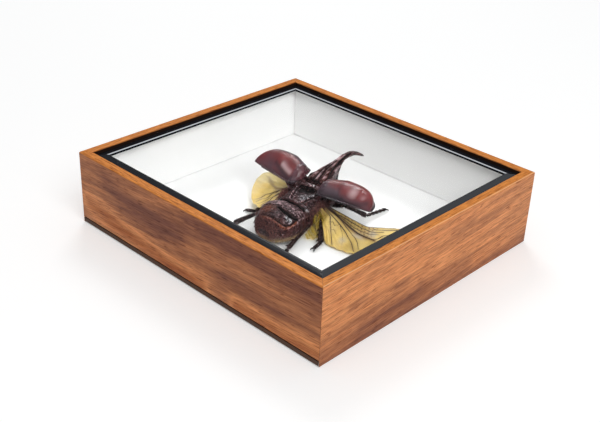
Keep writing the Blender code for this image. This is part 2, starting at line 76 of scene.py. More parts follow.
MM = 0.001
BODY = "root"
FINISH = "_finish"
CAD_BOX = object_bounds()

# The box, read from the frame
BOX_HALF_X = CAD_BOX[1].x / MM
BOX_HALF_Y = CAD_BOX[1].y / MM
BOX_TOP = CAD_BOX[1].z / MM
BOARD_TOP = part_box("mount_board")[1].z / MM
RAIL_INSET = BOX_HALF_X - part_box("rail_right")[0].x / MM
FRONT_RAIL_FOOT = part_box("rail_front")[0].z / MM
STRIP_INNER = BOX_HALF_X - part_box("strip_right")[0].x / MM
STRIP_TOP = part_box("strip_front")[1].z / MM
SIDES = {"front": (0, -1), "right": (1, 0), "back": (0, 1), "left": (-1, 0)}

# The beetle's place on the board
BEETLE_SPOT = (1.0, 6.5)
BEETLE_TURN = math.radians(7.0)

# The photograph's camera
PHOTO_WIDTH = 600
CAMERA_SPOT = (365.18, -391.54, 309.58)
CAMERA_AZIMUTH = 43.296
CAMERA_ELEVATION = 28.878
CAMERA_ROLL = 2.2575
FOCAL_PIXELS = 1000.54
SENSOR_WIDTH = 36.0


# ---------------------------------------------------------------- settings

def colour_setting(name, description, default):
    return FloatVectorProperty(
        name=name, description=description, default=default, subtype="COLOR", size=3, min=0.0, max=1.0)


def length_setting(name, description, default, low, high):
    """A length kept in metres, given here in millimetres."""
    return FloatProperty(
        name=name, description=description, default=default * MM, min=low * MM, max=high * MM,
        subtype="DISTANCE", unit="LENGTH", precision=5)


class BoxSettings(bpy.types.PropertyGroup):
    """The box's finishes and edges"""

    wood_light: colour_setting("Light wood", "Colour of the lighter grain", (0.92, 0.375, 0.138))
    wood_dark: colour_setting("Dark wood", "Colour of the darker figure", (0.2, 0.064, 0.039))
    strip_colour: colour_setting("Strips", "Colour of the glazing strips", (0.007, 0.008, 0.011))
    board_colour: colour_setting("Lining", "Colour of the board and its walls", (0.875, 0.872, 0.868))
    base_colour: colour_setting("Base", "Colour of the base board's edge", (0.085, 0.034, 0.014))
    edge_round: length_setting("Edge round", "Radius of the rails' outer top edge", 0.9, 0.2, 2.0)
    mitre_gap: length_setting("Mitre gap", "Width of the line at each mitred corner", 0.12, 0.02, 0.6)


class BeetleSettings(bpy.types.PropertyGroup):
    """The beetle's colours and the depth of its sculpture"""

    case_colour: colour_setting("Wing cases", "Colour of the polished wing cases", (0.15, 0.02, 0.022))
    shell_colour: colour_setting("Shell", "Colour of the trunk", (0.052, 0.012, 0.012))
    limb_colour: colour_setting("Limbs", "Colour of the legs and feelers", (0.024, 0.01, 0.009))
    membrane_colour: colour_setting("Membrane", "Colour of the hindwings", (0.96, 0.7, 0.25))
    vein_colour: colour_setting("Veins", "Colour of the hindwings' veins", (0.025, 0.01, 0.005))
    sculpture: FloatProperty(
        name="Sculpture", description="Depth of the ridges and pits", default=1.0, min=0.0, max=2.0,
        subtype="FACTOR")
    bristles: IntProperty(
        name="Bristles", description="Number of bristles on the abdomen", default=7500, min=750,
        max=10000)
    pleat: length_setting("Pleats", "Depth of the folds in the hindwings", 0.3, 0.0, 0.8)


class StudioSettings(bpy.types.PropertyGroup):
    """The floor and the lights"""

    floor_colour: colour_setting("Floor", "Colour of the floor", (0.8, 0.8, 0.8))
    surround: FloatProperty(
        name="Surround", description="Strength of the white surround", default=0.75, min=0.0, max=5.0)
    key_power: FloatProperty(
        name="Key light", description="Power of the large light on the right", default=11.0, min=0.0,
        max=500.0, unit="POWER")
    side_power: FloatProperty(
        name="Side light", description="Power of the light on the left", default=5.0, min=0.0,
        max=500.0, unit="POWER")


# ---------------------------------------------------------------- shaping helpers

CURVE_STEPS = 20
NOISE_CELLS = 32
# A hair's rings of three points: the share of its length, and of its radius, at each
HAIR_RINGS = ((0.0, 1.0), (0.45, 0.8), (0.8, 0.5))
HAIR_TURNS = (0.0, 2.094, 4.189)


def in_box(points):
    """From the beetle's frame to the box's, both in millimetres."""
    cos, sin = math.cos(BEETLE_TURN), math.sin(BEETLE_TURN)
    turned = np.asarray(points, float) @ np.array([[cos, sin, 0], [-sin, cos, 0], [0, 0, 1]])
    return turned + (*BEETLE_SPOT, BOARD_TOP)


def curve_through(stops, count):
    """count rows on a smooth curve through the rows of stops, evenly spaced by length."""
    stops = np.asarray(stops, float)
    spans = len(stops) - 1
    padded = np.vstack([2 * stops[0] - stops[1], stops, 2 * stops[-1] - stops[-2]])
    place = np.linspace(0, spans, CURVE_STEPS * spans + 1)
    first = np.minimum(place.astype(int), spans - 1)
    t = (place - first)[:, None]
    a, b, c, d = (padded[first + n] for n in range(4))
    square = 2 * a - 5 * b + 4 * c - d
    cube = 3 * b - a - 3 * c + d
    dense = 0.5 * (2 * b + (c - a) * t + square * t**2 + cube * t**3)
    run = np.r_[0, np.cumsum(np.linalg.norm(np.diff(dense[:, :3], axis=0), axis=1))]
    spots = np.linspace(0, run[-1], count)
    return np.column_stack([np.interp(spots, run, column) for column in dense.T])


def noise(points, size, seed):
    """Smooth random values from -1 to 1 that change over about size millimetres."""
    lattice = np.random.default_rng(seed).uniform(-1, 1, (NOISE_CELLS,) * 3)
    spot = np.asarray(points) / size
    cell = np.floor(spot).astype(int)
    part = spot - cell
    part = part * part * (3 - 2 * part)
    total = 0.0
    for corner in itertools.product((0, 1), repeat=3):
        index = (cell + corner) % NOISE_CELLS
        weight = np.prod(np.where(np.array(corner, bool), part, 1 - part), axis=-1)
        total = total + weight * lattice[index[..., 0], index[..., 1], index[..., 2]]
    return total


def distance_to(points, line):
    """How far each point is from a smooth curve through the points of line."""
    path = curve_through(line, 8 * len(line))[:, :points.shape[-1]]
    nearest = np.full(points.shape[:-1], np.inf)
    for start, end in zip(path[:-1], path[1:]):
        run = end - start
        share = np.clip((points - start) @ run / max(run @ run, 1e-9), 0, 1)
        nearest = np.minimum(nearest, np.linalg.norm(points - start - share[..., None] * run, axis=-1))
    return nearest


def bump(distance, width):
    """1 where distance is 0, falling away over width."""
    return np.exp(-((distance / width) ** 2))


def ramp_up(values, low, high):
    """0 below low, 1 above high, smooth between."""
    share = np.clip((values - low) / (high - low), 0, 1)
    return share * share * (3 - 2 * share)


def strokes(points, lines):
    """The height, tone and tint that ridges, grooves and patches give.

    A line is (points, width, height, tone, tint). A single point makes a round patch.
    """
    marks = np.zeros((3, *points.shape[:-1]))
    for line, width, *amounts in lines:
        spots = points[..., :len(line[0])]
        if len(line) > 1:
            distance = distance_to(spots, line)
        else:
            distance = np.linalg.norm(spots - line[0], axis=-1)
        marks += bump(distance, width) * np.array(amounts)[:, None, None]
    return marks


def grid_faces(rows, columns, wrap=False):
    """Quads between the points of a grid that is listed row by row."""
    last = columns if wrap else columns - 1
    row = np.arange(rows - 1)[:, None] * columns
    near = row + np.arange(last)
    side = row + (np.arange(last) + 1) % columns
    return np.stack([near, side, side + columns, near + columns], -1).reshape(-1, 4).tolist()


def unit_outward(vectors, outward):
    """The vectors at length 1, turned to the side that outward points to."""
    vectors = vectors / (np.linalg.norm(vectors, axis=-1, keepdims=True) + 1e-12)
    return vectors * np.where((vectors * outward).sum(-1, keepdims=True) < 0, -1.0, 1.0)


def sheet_normals(grid):
    """Unit normals of an open grid, pointing up."""
    return unit_outward(np.cross(np.gradient(grid, axis=0), np.gradient(grid, axis=1)), (0, 0, 1))


class Clay:
    """Points, faces, tones, tints and material numbers that become one mesh."""

    def __init__(self):
        self.points = []
        self.faces = []
        self.marks = {"tone": [], "tint": []}
        self.numbers = []
        self.count = 0

    def add(self, points, faces, tone=0.0, number=0, tint=0.0):
        """tone goes from black, -1, to pale, 1, and tint from grey to orange, as each finish says."""
        points = np.asarray(points, float).reshape(-1, 3)
        self.points.append(points)
        for name, value in (("tone", tone), ("tint", tint)):
            value = np.asarray(value, float).reshape(-1)
            self.marks[name].append(np.broadcast_to(value, (len(points),)))
        self.faces += [[corner + self.count for corner in face] for face in faces]
        self.numbers += [number] * len(faces)
        self.count += len(points)

    def shell(self, grid, tone=0.0, number=0, start_tip=None, end_tip=None, tint=0.0):
        """A closed skin over rings of points, ended by a tip at each end.

        A tone or tint that is given point by point has its mean at the tips.
        """
        rows, sides = grid.shape[:2]
        start_tip = grid[0].mean(0) if start_tip is None else start_tip
        end_tip = grid[-1].mean(0) if end_tip is None else end_tip
        points = np.vstack([grid.reshape(-1, 3), [start_tip], [end_tip]])
        faces = grid_faces(rows, sides, wrap=True)
        turn = np.arange(sides)
        after = (turn + 1) % sides
        base = (rows - 1) * sides
        faces += np.stack([after, turn, np.full(sides, rows * sides)], -1).tolist()
        faces += np.stack([base + turn, base + after, np.full(sides, rows * sides + 1)], -1).tolist()
        marks = []
        for mark in (np.asarray(tone, float), np.asarray(tint, float)):
            if mark.size == rows * sides:
                mark = np.r_[mark.reshape(-1), mark.mean(), mark.mean()]
            marks.append(mark)
        self.add(points, faces, marks[0], number, marks[1])

    def tube(self, path, radii, sides=8, flat=1.0, up=(0, 0, 1), tone=0.0, number=0, tint=0.0):
        """A closed tube. flat is its thickness along up as a share of its width."""
        path = np.asarray(path, float)
        radii = np.broadcast_to(np.asarray(radii, float), (len(path),))
        ahead = np.gradient(path, axis=0)
        ahead /= np.linalg.norm(ahead, axis=1, keepdims=True) + 1e-12
        across = np.cross(ahead, up)
        weak = np.linalg.norm(across, axis=1) < 1e-3
        across[weak] = np.cross(ahead[weak], (0.3, 1, 0.1))
        across /= np.linalg.norm(across, axis=1, keepdims=True)
        above = np.cross(across, ahead)
        angles = (2 * np.pi * np.arange(sides) / sides)[:, None]
        ring = across[:, None] * np.cos(angles) + above[:, None] * np.sin(angles) * flat
        self.shell(path[:, None] + ring * radii[:, None, None], tone, number, tint=tint)

    def sheet(self, grid, thickness, tone, tint):
        """A closed sheet: the grid, a copy of it thickness lower, and the rim between them."""
        rows, columns = grid.shape[:2]
        count = rows * columns
        top = grid_faces(rows, columns)
        faces = top + [[corner + count for corner in reversed(face)] for face in top]
        index = np.arange(count).reshape(rows, columns)
        loop = np.r_[index[0, :-1], index[:-1, -1], index[-1, :0:-1], index[:0:-1, 0]]
        after = np.roll(loop, -1)
        faces += np.stack([after, loop, loop + count, after + count], -1).tolist()
        lower = grid - sheet_normals(grid) * thickness
        points = np.vstack([grid.reshape(-1, 3), lower.reshape(-1, 3)])
        self.add(points, faces, np.tile(tone.reshape(-1), 2), tint=np.tile(tint.reshape(-1), 2))

    def bristles(self, roots, ways, lengths, radius, droop=0.3, number=0, tint=0.0):
        """Tapered hairs that start at roots, point along ways and bend down."""
        ways = ways / np.linalg.norm(ways, axis=1, keepdims=True)
        lengths = np.asarray(lengths)[:, None]
        across = np.cross(ways, (0.31, 0.52, 0.8))
        across /= np.linalg.norm(across, axis=1, keepdims=True) + 1e-9
        above = np.cross(across, ways)
        fall = np.array([0, 0, -droop]) * lengths
        corners = []
        for share, thick in HAIR_RINGS:
            middle = roots + ways * lengths * share + fall * share**2
            for turn in HAIR_TURNS:
                outward = across * math.cos(turn) + above * math.sin(turn)
                corners.append(middle + outward * radius * thick)
        corners.append(roots + ways * lengths + fall)
        one_hair = [(2, 1, 0)] + [(6 + k, 6 + (k + 1) % 3, 9) for k in range(3)]
        for ring, k in itertools.product((0, 3), range(3)):
            after = (k + 1) % 3
            one_hair.append((ring + k, ring + after, ring + 3 + after, ring + 3 + k))
        starts = len(corners) * np.arange(len(roots))[:, None]
        faces = [face for shape in one_hair for face in (starts + shape).tolist()]
        tints = np.repeat(np.broadcast_to(tint, len(roots)), len(corners))
        self.add(np.stack(corners, 1), faces, 0.0, number, tints)

    def piece(self, name, looks, nodes=(), smooth_angle=50, beetle=True):
        """Makes the object, ties it to the box's body, gives it its finishes and hides the nodes it
        stands for.
        """
        points = np.vstack(self.points)
        points = (in_box(points) if beetle else points) * MM
        mesh = bpy.data.meshes.new(name)
        mesh.from_pydata(points.tolist(), [], self.faces)
        for look in looks:
            mesh.materials.append(look)
        mesh.polygons.foreach_set("material_index", self.numbers)
        for mark, values in self.marks.items():
            layer = mesh.attributes.new(mark, "FLOAT", "POINT")
            layer.data.foreach_set("value", np.concatenate(values).astype(np.float32))
        right_way = bmesh.new()
        right_way.from_mesh(mesh)
        bmesh.ops.recalc_face_normals(right_way, faces=right_way.faces)
        right_way.to_mesh(mesh)
        right_way.free()
        mesh.shade_smooth()
        mesh.set_sharp_from_angle(angle=math.radians(smooth_angle))
        thing = bpy.data.objects.new(name, mesh)
        bpy.context.scene.collection.objects.link(thing)
        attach(thing, BODY)
        if nodes:
            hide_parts(*nodes)
        return thing


# ---------------------------------------------------------------- finishes

# Colours that stay as they are whatever the settings say
WOOD_ORANGE = (0.42, 0.112, 0.023)
WOOD_TOP_ORANGE = (0.82, 0.3, 0.06)
WOOD_EDGE_HIGHLIGHT = (1.0, 0.66, 0.42)
WOOD_INNER_SHADE = (0.03, 0.014, 0.009)
STREAK_SHADE = (0.5, 0.36, 0.34)
FIBRE_SHADE = (0.6, 0.5, 0.47)
PORE_SHADE = (0.45, 0.34, 0.34)
STRIP_HIGHLIGHT_GREY = (0.72, 0.75, 0.8)
GLASS_TINGE = (0.97, 0.985, 0.98, 1.0)
SHELL_ORANGE = (0.27, 0.065, 0.025)
SHELL_GREY = (0.085, 0.062, 0.072)
SHELL_BLACK_AND_SHADE = (0.003, 0.002, 0.002)
CREST_HIGHLIGHT_PINK = (0.5, 0.33, 0.35)
CREST_HIGHLIGHT_GREY = (0.42, 0.44, 0.45)
GLINT_GREY = (0.38, 0.29, 0.31)
CASE_MAUVE = (0.075, 0.048, 0.062)
CASE_BLACK = (0.012, 0.005, 0.009)
CASE_HIGHLIGHT_PALE = (0.5, 0.36, 0.37)
# Cream, which in the right hindwing's spots is painted glare
SKIN_CREAM = (0.9, 0.83, 0.68)
SKIN_SHADE_OLIVE = (0.34, 0.24, 0.02)
SKIN_BROWN = (0.13, 0.045, 0.012)
# What the light takes on as it passes through the hindwings
THROUGH_AMBER = (0.98, 0.87, 0.53)
THROUGH_CLEAR = (1.0, 0.97, 0.87)
# The hair's three colours, and the two of the eyes' facets and of the floor's glow
HAIR_BLACK = (0.01, 0.004, 0.005)
HAIR_RED = (0.3, 0.115, 0.1)
HAIR_TAN = (0.4, 0.27, 0.13)
EYE_RIM = (0.03, 0.022, 0.018)
EYE_FACET = (0.008, 0.006, 0.006)
GLOW_COOL = (0.99, 1.0, 1.0)
GLOW_WARM = (1.0, 1.0, 0.99)
# The shield's shell is smoother, and its wrinkles run along it
RIDGED_ROUGH = 0.36
RIDGED_GRAIN = 9.0


class Recipe:
    """The nodes of one material, added one after another."""

    def __init__(self, name, fixed=()):
        self.look = bpy.data.materials.new(name + FINISH)
        self.look.use_nodes = True
        self.tree = self.look.node_tree
        self.shader = self.tree.nodes["Principled BSDF"]
        for socket, value in dict(fixed).items():
            self.shader.inputs[socket].default_value = value

    def add(self, kind, inputs=(), **settings):
        """A node with its settings and its inputs, which are values or other nodes' outputs."""
        node = self.tree.nodes.new("ShaderNode" + kind)
        for key, value in settings.items():
            setattr(node, key, value)
        for socket, value in dict(inputs).items():
            if isinstance(value, bpy.types.NodeSocket):
                self.tree.links.new(value, node.inputs[socket])
            else:
                node.inputs[socket].default_value = value
        return node

    def drive(self, socket, source):
        """Links a node's output to one of the shader's inputs."""
        self.tree.links.new(source, self.shader.inputs[socket])

    def stretched(self, sizes, attribute=None):
        """Coordinates that go up by one for each of the sizes, in millimetres along x, y and z."""
        if attribute:
            source = self.add("Attribute", attribute_name=attribute).outputs["Vector"]
            scale = tuple(1 / size for size in sizes)
        else:
            source = self.add("TexCoord").outputs["Object"]
            scale = tuple(1 / (size * MM) for size in sizes)
        return self.add("Mapping", {"Vector": source, "Scale": scale}).outputs["Vector"]

    def noise(self, vector, detail=2.0, roughness=0.5, distortion=0.0):
        """Cloudy values from 0 to 1."""
        inputs = {"Vector": vector, "Scale": 1.0, "Detail": detail, "Roughness": roughness,
                  "Distortion": distortion}
        return self.add("TexNoise", inputs).outputs["Fac"]

    def cells(self, vector):
        """How far each point is from the middle of its cell."""
        return self.add("TexVoronoi", {"Vector": vector, "Scale": 1.0}).outputs["Distance"]

    def span(self, value, low, high, to_low=0.0, to_high=1.0):
        """Turns low to high into to_low to to_high, and holds it there outside."""
        inputs = {"Value": value, "From Min": low, "From Max": high, "To Min": to_low, "To Max": to_high}
        return self.add("MapRange", inputs).outputs["Result"]

    def maths(self, operation, first, second):
        """One sum or product of two values."""
        return self.add("Math", {0: first, 1: second}, operation=operation).outputs["Value"]

    def blend(self, share, first, second, way="MIX"):
        """Two colours mixed by share."""
        first, second = ((*c, 1.0) if isinstance(c, tuple) else c for c in (first, second))
        node = self.add("Mix", {0: share, 6: first, 7: second}, data_type="RGBA", blend_type=way)
        return node.outputs[2]

    def mark(self, name):
        """The tone or the tint that the mesh carries."""
        return self.add("Attribute", attribute_name=name).outputs["Fac"]

    def bump(self, height, depth, strength):
        """Fine relief of the surface, depth in millimetres."""
        inputs = {"Height": height, "Distance": depth * MM, "Strength": strength}
        self.drive("Normal", self.add("Bump", inputs).outputs["Normal"])


def tinted(colour, factor):
    """The colour made darker or brighter."""
    return tuple(min(1.0, channel * factor) for channel in colour)


def wood_look(settings):
    """Varnished hardwood with fine dark streaks, purple-brown or orange by tint.

    By tone it goes from the inner face, -1, painted near black as shade, through the sides, 0, and the
    brighter orange top, 1, to a painted highlight line on the outer edge, 2.
    """
    gloss = {"Coat Weight": 0.03, "Coat Roughness": 0.2, "Specular IOR Level": 0.12}
    wood = Recipe("varnished_wood", gloss)
    light, dark = tuple(settings.wood_light), tuple(settings.wood_dark)
    band = wood.noise(wood.stretched((70, 6, 5), attribute="grain"), 4.0, 0.6, 0.8)
    streak = wood.noise(wood.stretched((26, 1.2, 1.05), attribute="grain"), 4.0, 0.62, 0.4)
    fibre = wood.noise(wood.stretched((12, 0.55, 0.5), attribute="grain"), 2.0, 0.6)
    pores = wood.noise(wood.stretched((7, 0.8, 0.7), attribute="grain"), 1.0, 0.5, 0.3)
    tint = wood.maths("ADD", wood.mark("tint"), wood.span(band, 0.3, 0.7, 0.25, -0.25))
    colour = wood.blend(wood.span(band, 0.35, 0.65), light, tinted(light, 0.78))
    colour = wood.blend(wood.span(tint, 0.0, -1.0, 0.0, 0.95), colour, dark)
    colour = wood.blend(wood.span(tint, 0.0, 0.6, 0.0, 0.9), colour, WOOD_ORANGE)
    tone = wood.mark("tone")
    colour = wood.blend(wood.span(tone, 0.0, 1.0), colour, WOOD_TOP_ORANGE)
    colour = wood.blend(wood.span(streak, 0.45, 0.7, 0.0, 0.6), colour, STREAK_SHADE, "MULTIPLY")
    colour = wood.blend(wood.span(fibre, 0.42, 0.66, 0.0, 0.85), colour, FIBRE_SHADE, "MULTIPLY")
    colour = wood.blend(wood.span(pores, 0.6, 0.7, 0.0, 0.8), colour, PORE_SHADE, "MULTIPLY")
    colour = wood.blend(wood.span(tone, 1.0, 2.0), colour, WOOD_EDGE_HIGHLIGHT)
    wood.drive("Base Color", wood.blend(wood.span(tone, 0.0, -1.0), colour, WOOD_INNER_SHADE))
    wood.drive("Roughness", wood.span(pores, 0.3, 0.75, 0.35, 0.55))
    relief = wood.maths("ADD", wood.maths("MULTIPLY", fibre, -0.3), wood.span(pores, 0.7, 0.62))
    wood.bump(relief, 0.1, 0.5)
    return wood.look


def strip_look(settings):
    """Black moulding with a faint brushed haze, and grey where tone is high: a painted highlight on the
    crest and a painted reflection.
    """
    strip = Recipe("black_strip", {"Specular IOR Level": 0.17})
    base = tuple(settings.strip_colour)
    haze = strip.noise(strip.stretched((9, 9, 9)), 4.0, 0.6)
    fine = strip.noise(strip.stretched((0.5, 0.5, 0.5)), 2.0)
    colour = strip.blend(haze, base, tinted(base, 1.8))
    strip.drive("Base Color", strip.blend(strip.mark("tone"), colour, STRIP_HIGHLIGHT_GREY))
    strip.drive("Roughness", strip.span(haze, 0.3, 0.7, 0.2, 0.28))
    strip.bump(fine, 0.02, 0.4)
    return strip.look


def board_look(settings):
    """White mount board with a fine paper tooth."""
    board = Recipe("white_board", {"Specular IOR Level": 0.3})
    white = tuple(settings.board_colour)
    cloud = board.noise(board.stretched((30, 30, 30)), 3.0)
    tooth = board.noise(board.stretched((0.6, 0.6, 0.6)), 3.0, 0.6)
    board.drive("Base Color", board.blend(cloud, tinted(white, 0.985), tinted(white, 1.01)))
    board.drive("Roughness", board.span(tooth, 0.3, 0.7, 0.7, 0.85))
    board.bump(tooth, 0.03, 0.25)
    return board.look


def base_look(settings):
    """Pressed dark board with short fibres."""
    base = Recipe("dark_board")
    colour = tuple(settings.base_colour)
    fibres = base.noise(base.stretched((2.5, 2.5, 0.4)), 4.0, 0.65)
    blotch = base.noise(base.stretched((18, 18, 2)), 2.0)
    mixed = base.blend(base.span(fibres, 0.35, 0.7), tinted(colour, 0.6), tinted(colour, 1.35))
    mixed = base.blend(base.span(blotch, 0.4, 0.6, 0.0, 0.3), mixed, tinted(colour, 0.5))
    base.drive("Base Color", mixed)
    base.drive("Roughness", base.span(fibres, 0.3, 0.7, 0.6, 0.85))
    base.bump(fibres, 0.08, 0.5)
    return base.look


def glass_look():
    """Clear glass that lets the lamps' light through to what lies under it."""
    clear = {
        "Base Color": (1.0, 1.0, 1.0, 1.0), "Roughness": 0.0, "IOR": 1.08, "Transmission Weight": 1.0,
    }
    glass = Recipe("clear_glass", clear)
    open_way = glass.add("BsdfTransparent", {"Color": GLASS_TINGE}).outputs[0]
    lamp = glass.add("LightPath").outputs["Is Shadow Ray"]
    mixed = glass.add("MixShader", {0: lamp, 1: glass.shader.outputs[0], 2: open_way})
    glass.tree.links.new(mixed.outputs[0], glass.tree.nodes["Material Output"].inputs["Surface"])
    return glass.look


def shell_look(name, colour, rough=0.42, grain=1.0):
    """Wrinkled cuticle: black in the hollows as painted shade and pale on the crests as painted
    highlights, greyer or more orange by tint.

    grain is how much longer its wrinkles are along the body than across it.
    """
    shell = Recipe(name, {"Specular IOR Level": 0.18})
    colour = tuple(colour)
    cloud = shell.noise(shell.stretched((5, 5, 5)), 3.0, 0.6)
    wrinkle = shell.noise(shell.stretched((1.5, 1.5 * grain, 1.5)), 2.0, 0.55, 0.7)
    speck = shell.noise(shell.stretched((0.5, 0.5, 0.5)), 3.0, 0.65)
    tone, tint = shell.mark("tone"), shell.mark("tint")
    base = shell.blend(shell.span(cloud, 0.35, 0.7), tinted(colour, 0.6), tinted(colour, 1.5))
    base = shell.blend(shell.span(tint, 0.0, 1.0), base, SHELL_ORANGE)
    base = shell.blend(shell.span(tint, 0.0, -1.0), base, SHELL_GREY)
    base = shell.blend(shell.span(speck, 0.4, 0.75, 0.0, 0.6), base, tinted(colour, 0.2))
    # Painted shade: the wrinkles' hollows are darkened
    base = shell.blend(shell.span(wrinkle, 0.5, 0.6, 0.0, 0.85), base, tinted(colour, 0.1))
    # Painted highlights: pale on the crests where tone is high
    crest = shell.span(wrinkle, 0.52, 0.42)
    pale = shell.maths("MULTIPLY", shell.span(tone, 0.05, 1.0), crest)
    highlight_colour = shell.blend(shell.span(tint, -0.4, -1.0), CREST_HIGHLIGHT_PINK, CREST_HIGHLIGHT_GREY)
    base = shell.blend(pale, base, highlight_colour)
    # Painted glints on the wrinkles' peaks wherever tone is not low
    peak = shell.span(wrinkle, 0.38, 0.33, 0.0, 0.5)
    glint = shell.maths("MULTIPLY", peak, shell.span(tone, -0.4, 0.0))
    base = shell.blend(glint, base, GLINT_GREY)
    # Black where tone is low: painted shade in grooves, slits and gaps, and dark blotches
    base = shell.blend(shell.span(tone, -0.05, -0.8), base, SHELL_BLACK_AND_SHADE)
    shell.drive("Base Color", base)
    shell.drive("Roughness", shell.span(speck, 0.3, 0.7, rough - 0.12, rough + 0.14))
    shell.bump(shell.maths("ADD", shell.maths("MULTIPLY", speck, 0.4), crest), 0.2, 0.8)
    return shell.look


def case_look(settings):
    """Polished red-brown horn: black to pale by tone, the pale being painted highlights and the black
    partly painted shade, and mauve where tint is low, partly painted reflection.
    """
    gloss = {"Coat Weight": 0.12, "Coat Roughness": 0.25, "Specular IOR Level": 0.4}
    case = Recipe("red_brown_shell", gloss)
    colour = tuple(settings.case_colour)
    cloud = case.noise(case.stretched((8, 8, 8)), 3.0, 0.5, 0.3)
    grain = case.noise(case.stretched((0.8, 0.8, 0.8)), 3.0, 0.6)
    base = case.blend(case.span(cloud, 0.35, 0.68), tinted(colour, 0.75), tinted(colour, 1.15))
    base = case.blend(case.span(grain, 0.5, 0.75, 0.0, 0.25), base, tinted(colour, 0.45))
    base = case.blend(case.span(case.mark("tint"), 0.0, -1.0, 0.0, 0.95), base, CASE_MAUVE)
    base = case.blend(case.span(case.mark("tone"), 0.0, -1.0, 0.0, 0.97), base, CASE_BLACK)
    base = case.blend(case.span(case.mark("tone"), 0.05, 1.0, 0.0, 0.8), base, CASE_HIGHLIGHT_PALE)
    case.drive("Base Color", base)
    case.drive("Roughness", case.span(cloud, 0.3, 0.7, 0.3, 0.38))
    case.bump(grain, 0.02, 0.3)
    return case.look


def membrane_look(settings):
    """A thin amber skin: browner or clearer by tone, and cream or olive by tint; the olive is partly
    painted shade and the cream partly painted glare.
    """
    skin = Recipe("amber_membrane", {"Specular IOR Level": 0.5, "IOR": 1.5})
    colour = tuple(settings.membrane_colour)
    cloud = skin.noise(skin.stretched((9, 9, 9)), 3.0, 0.6)
    crinkle = skin.noise(skin.stretched((1.1, 1.1, 1.1)), 3.0, 0.6, 0.6)
    tone, tint = skin.mark("tone"), skin.mark("tint")
    base = skin.blend(skin.span(cloud, 0.35, 0.7), tinted(colour, 1.1), tinted(colour, 0.85))
    base = skin.blend(skin.span(tint, 0.0, -1.0), base, SKIN_CREAM)
    base = skin.blend(skin.span(tint, 0.0, 1.0), base, SKIN_SHADE_OLIVE)
    base = skin.blend(skin.span(tone, 0.05, 1.0), base, SKIN_BROWN)
    skin.drive("Base Color", base)
    skin.drive("Roughness", skin.span(crinkle, 0.3, 0.7, 0.25, 0.45))
    skin.bump(crinkle, 0.12, 0.5)
    clear = skin.blend(skin.span(tone, 0.0, -0.9), THROUGH_AMBER, THROUGH_CLEAR)
    through = skin.add("BsdfTransparent", {"Color": clear}).outputs[0]
    soft = skin.maths("MULTIPLY", skin.maths("ABSOLUTE", tint, 0.0), 0.4)
    solid = skin.span(skin.maths("SUBTRACT", tone, soft), -1.2, 0.9, 0.02, 0.95)
    mixed = skin.add("MixShader", {0: solid, 1: through, 2: skin.shader.outputs[0]})
    skin.tree.links.new(mixed.outputs[0], skin.tree.nodes["Material Output"].inputs["Surface"])
    return skin.look


def vein_look(settings):
    """Dark brown horn, a little patchy."""
    vein = Recipe("brown_vein", {"Coat Weight": 0.2})
    colour = tuple(settings.vein_colour)
    patch = vein.noise(vein.stretched((1.5, 1.5, 1.5)), 3.0)
    vein.drive("Base Color", vein.blend(patch, tinted(colour, 0.5), tinted(colour, 1.7)))
    vein.drive("Roughness", vein.span(patch, 0.3, 0.7, 0.35, 0.55))
    return vein.look


def bristle_look():
    """Stiff hair from black to red-brown, and tan where tint is high."""
    hair = Recipe("red_brown_bristle", {"Specular IOR Level": 0.3})
    patch = hair.noise(hair.stretched((0.7, 0.7, 0.7)), 2.0)
    base = hair.blend(hair.span(patch, 0.4, 0.72), HAIR_BLACK, HAIR_RED)
    hair.drive("Base Color", hair.blend(hair.span(hair.mark("tint"), 0.0, 1.0), base, HAIR_TAN))
    hair.drive("Roughness", hair.span(patch, 0.3, 0.7, 0.35, 0.5))
    return hair.look


def eye_look():
    """A dark eye of many small facets."""
    eye = Recipe("eye", {"Coat Weight": 0.6, "Coat Roughness": 0.1})
    facets = eye.cells(eye.stretched((0.22, 0.22, 0.22)))
    eye.drive("Base Color", eye.blend(eye.span(facets, 0.1, 0.5), EYE_RIM, EYE_FACET))
    eye.drive("Roughness", eye.span(facets, 0.0, 0.6, 0.15, 0.4))
    eye.bump(facets, 0.04, 0.6)
    return eye.look


def floor_look(settings):
    """A matt white floor that glows a little: painted light that lifts the shadows on it."""
    matt = {"Roughness": 0.9, "Specular IOR Level": 0.1, "Emission Strength": 0.31}
    floor = Recipe("studio_floor", matt)
    colour = tuple(settings.floor_colour)
    cloud = floor.noise(floor.stretched((400, 400, 400)), 1.0)
    floor.drive("Base Color", floor.blend(cloud, tinted(colour, 0.995), tinted(colour, 1.005)))
    floor.drive("Emission Color", floor.blend(cloud, GLOW_COOL, GLOW_WARM))
    return floor.look


# ---------------------------------------------------------------- the box

RAIL_INNER_ROUND = 0.4
RAIL_FOOT_ROUND = 0.5
# How far below the top the inner face starts, which is painted near black as shade
INNER_SHADE_DROP = 0.8
# How far a rail's end stands back, as a share of the gap across the mitre
MITRE_SHARE = 0.71
GRAIN_TILT = math.radians(3.5)
# Where along the plank's figure each rail starts
GRAIN_SHIFT = {"front": 0.0, "right": 431.0, "back": 877.0, "left": 1290.0}
# The painted highlight line on the outer edge: how strong it is, and its place and width by the
# edge's radius
ARRIS_HIGHLIGHT = {"front": 0.25, "right": 0.9, "back": 0.2, "left": 0.2}
ARRIS_PLACE = 0.35
ARRIS_WIDTH = 0.25
# How purple, below 0, or orange, above 0, each rail is; the front rail's strong purple is partly its
# wood's colour and partly painted shade
RAIL_TINT_AND_SHADE = {"front": -0.6, "right": -0.06, "back": -0.05, "left": 0.1}
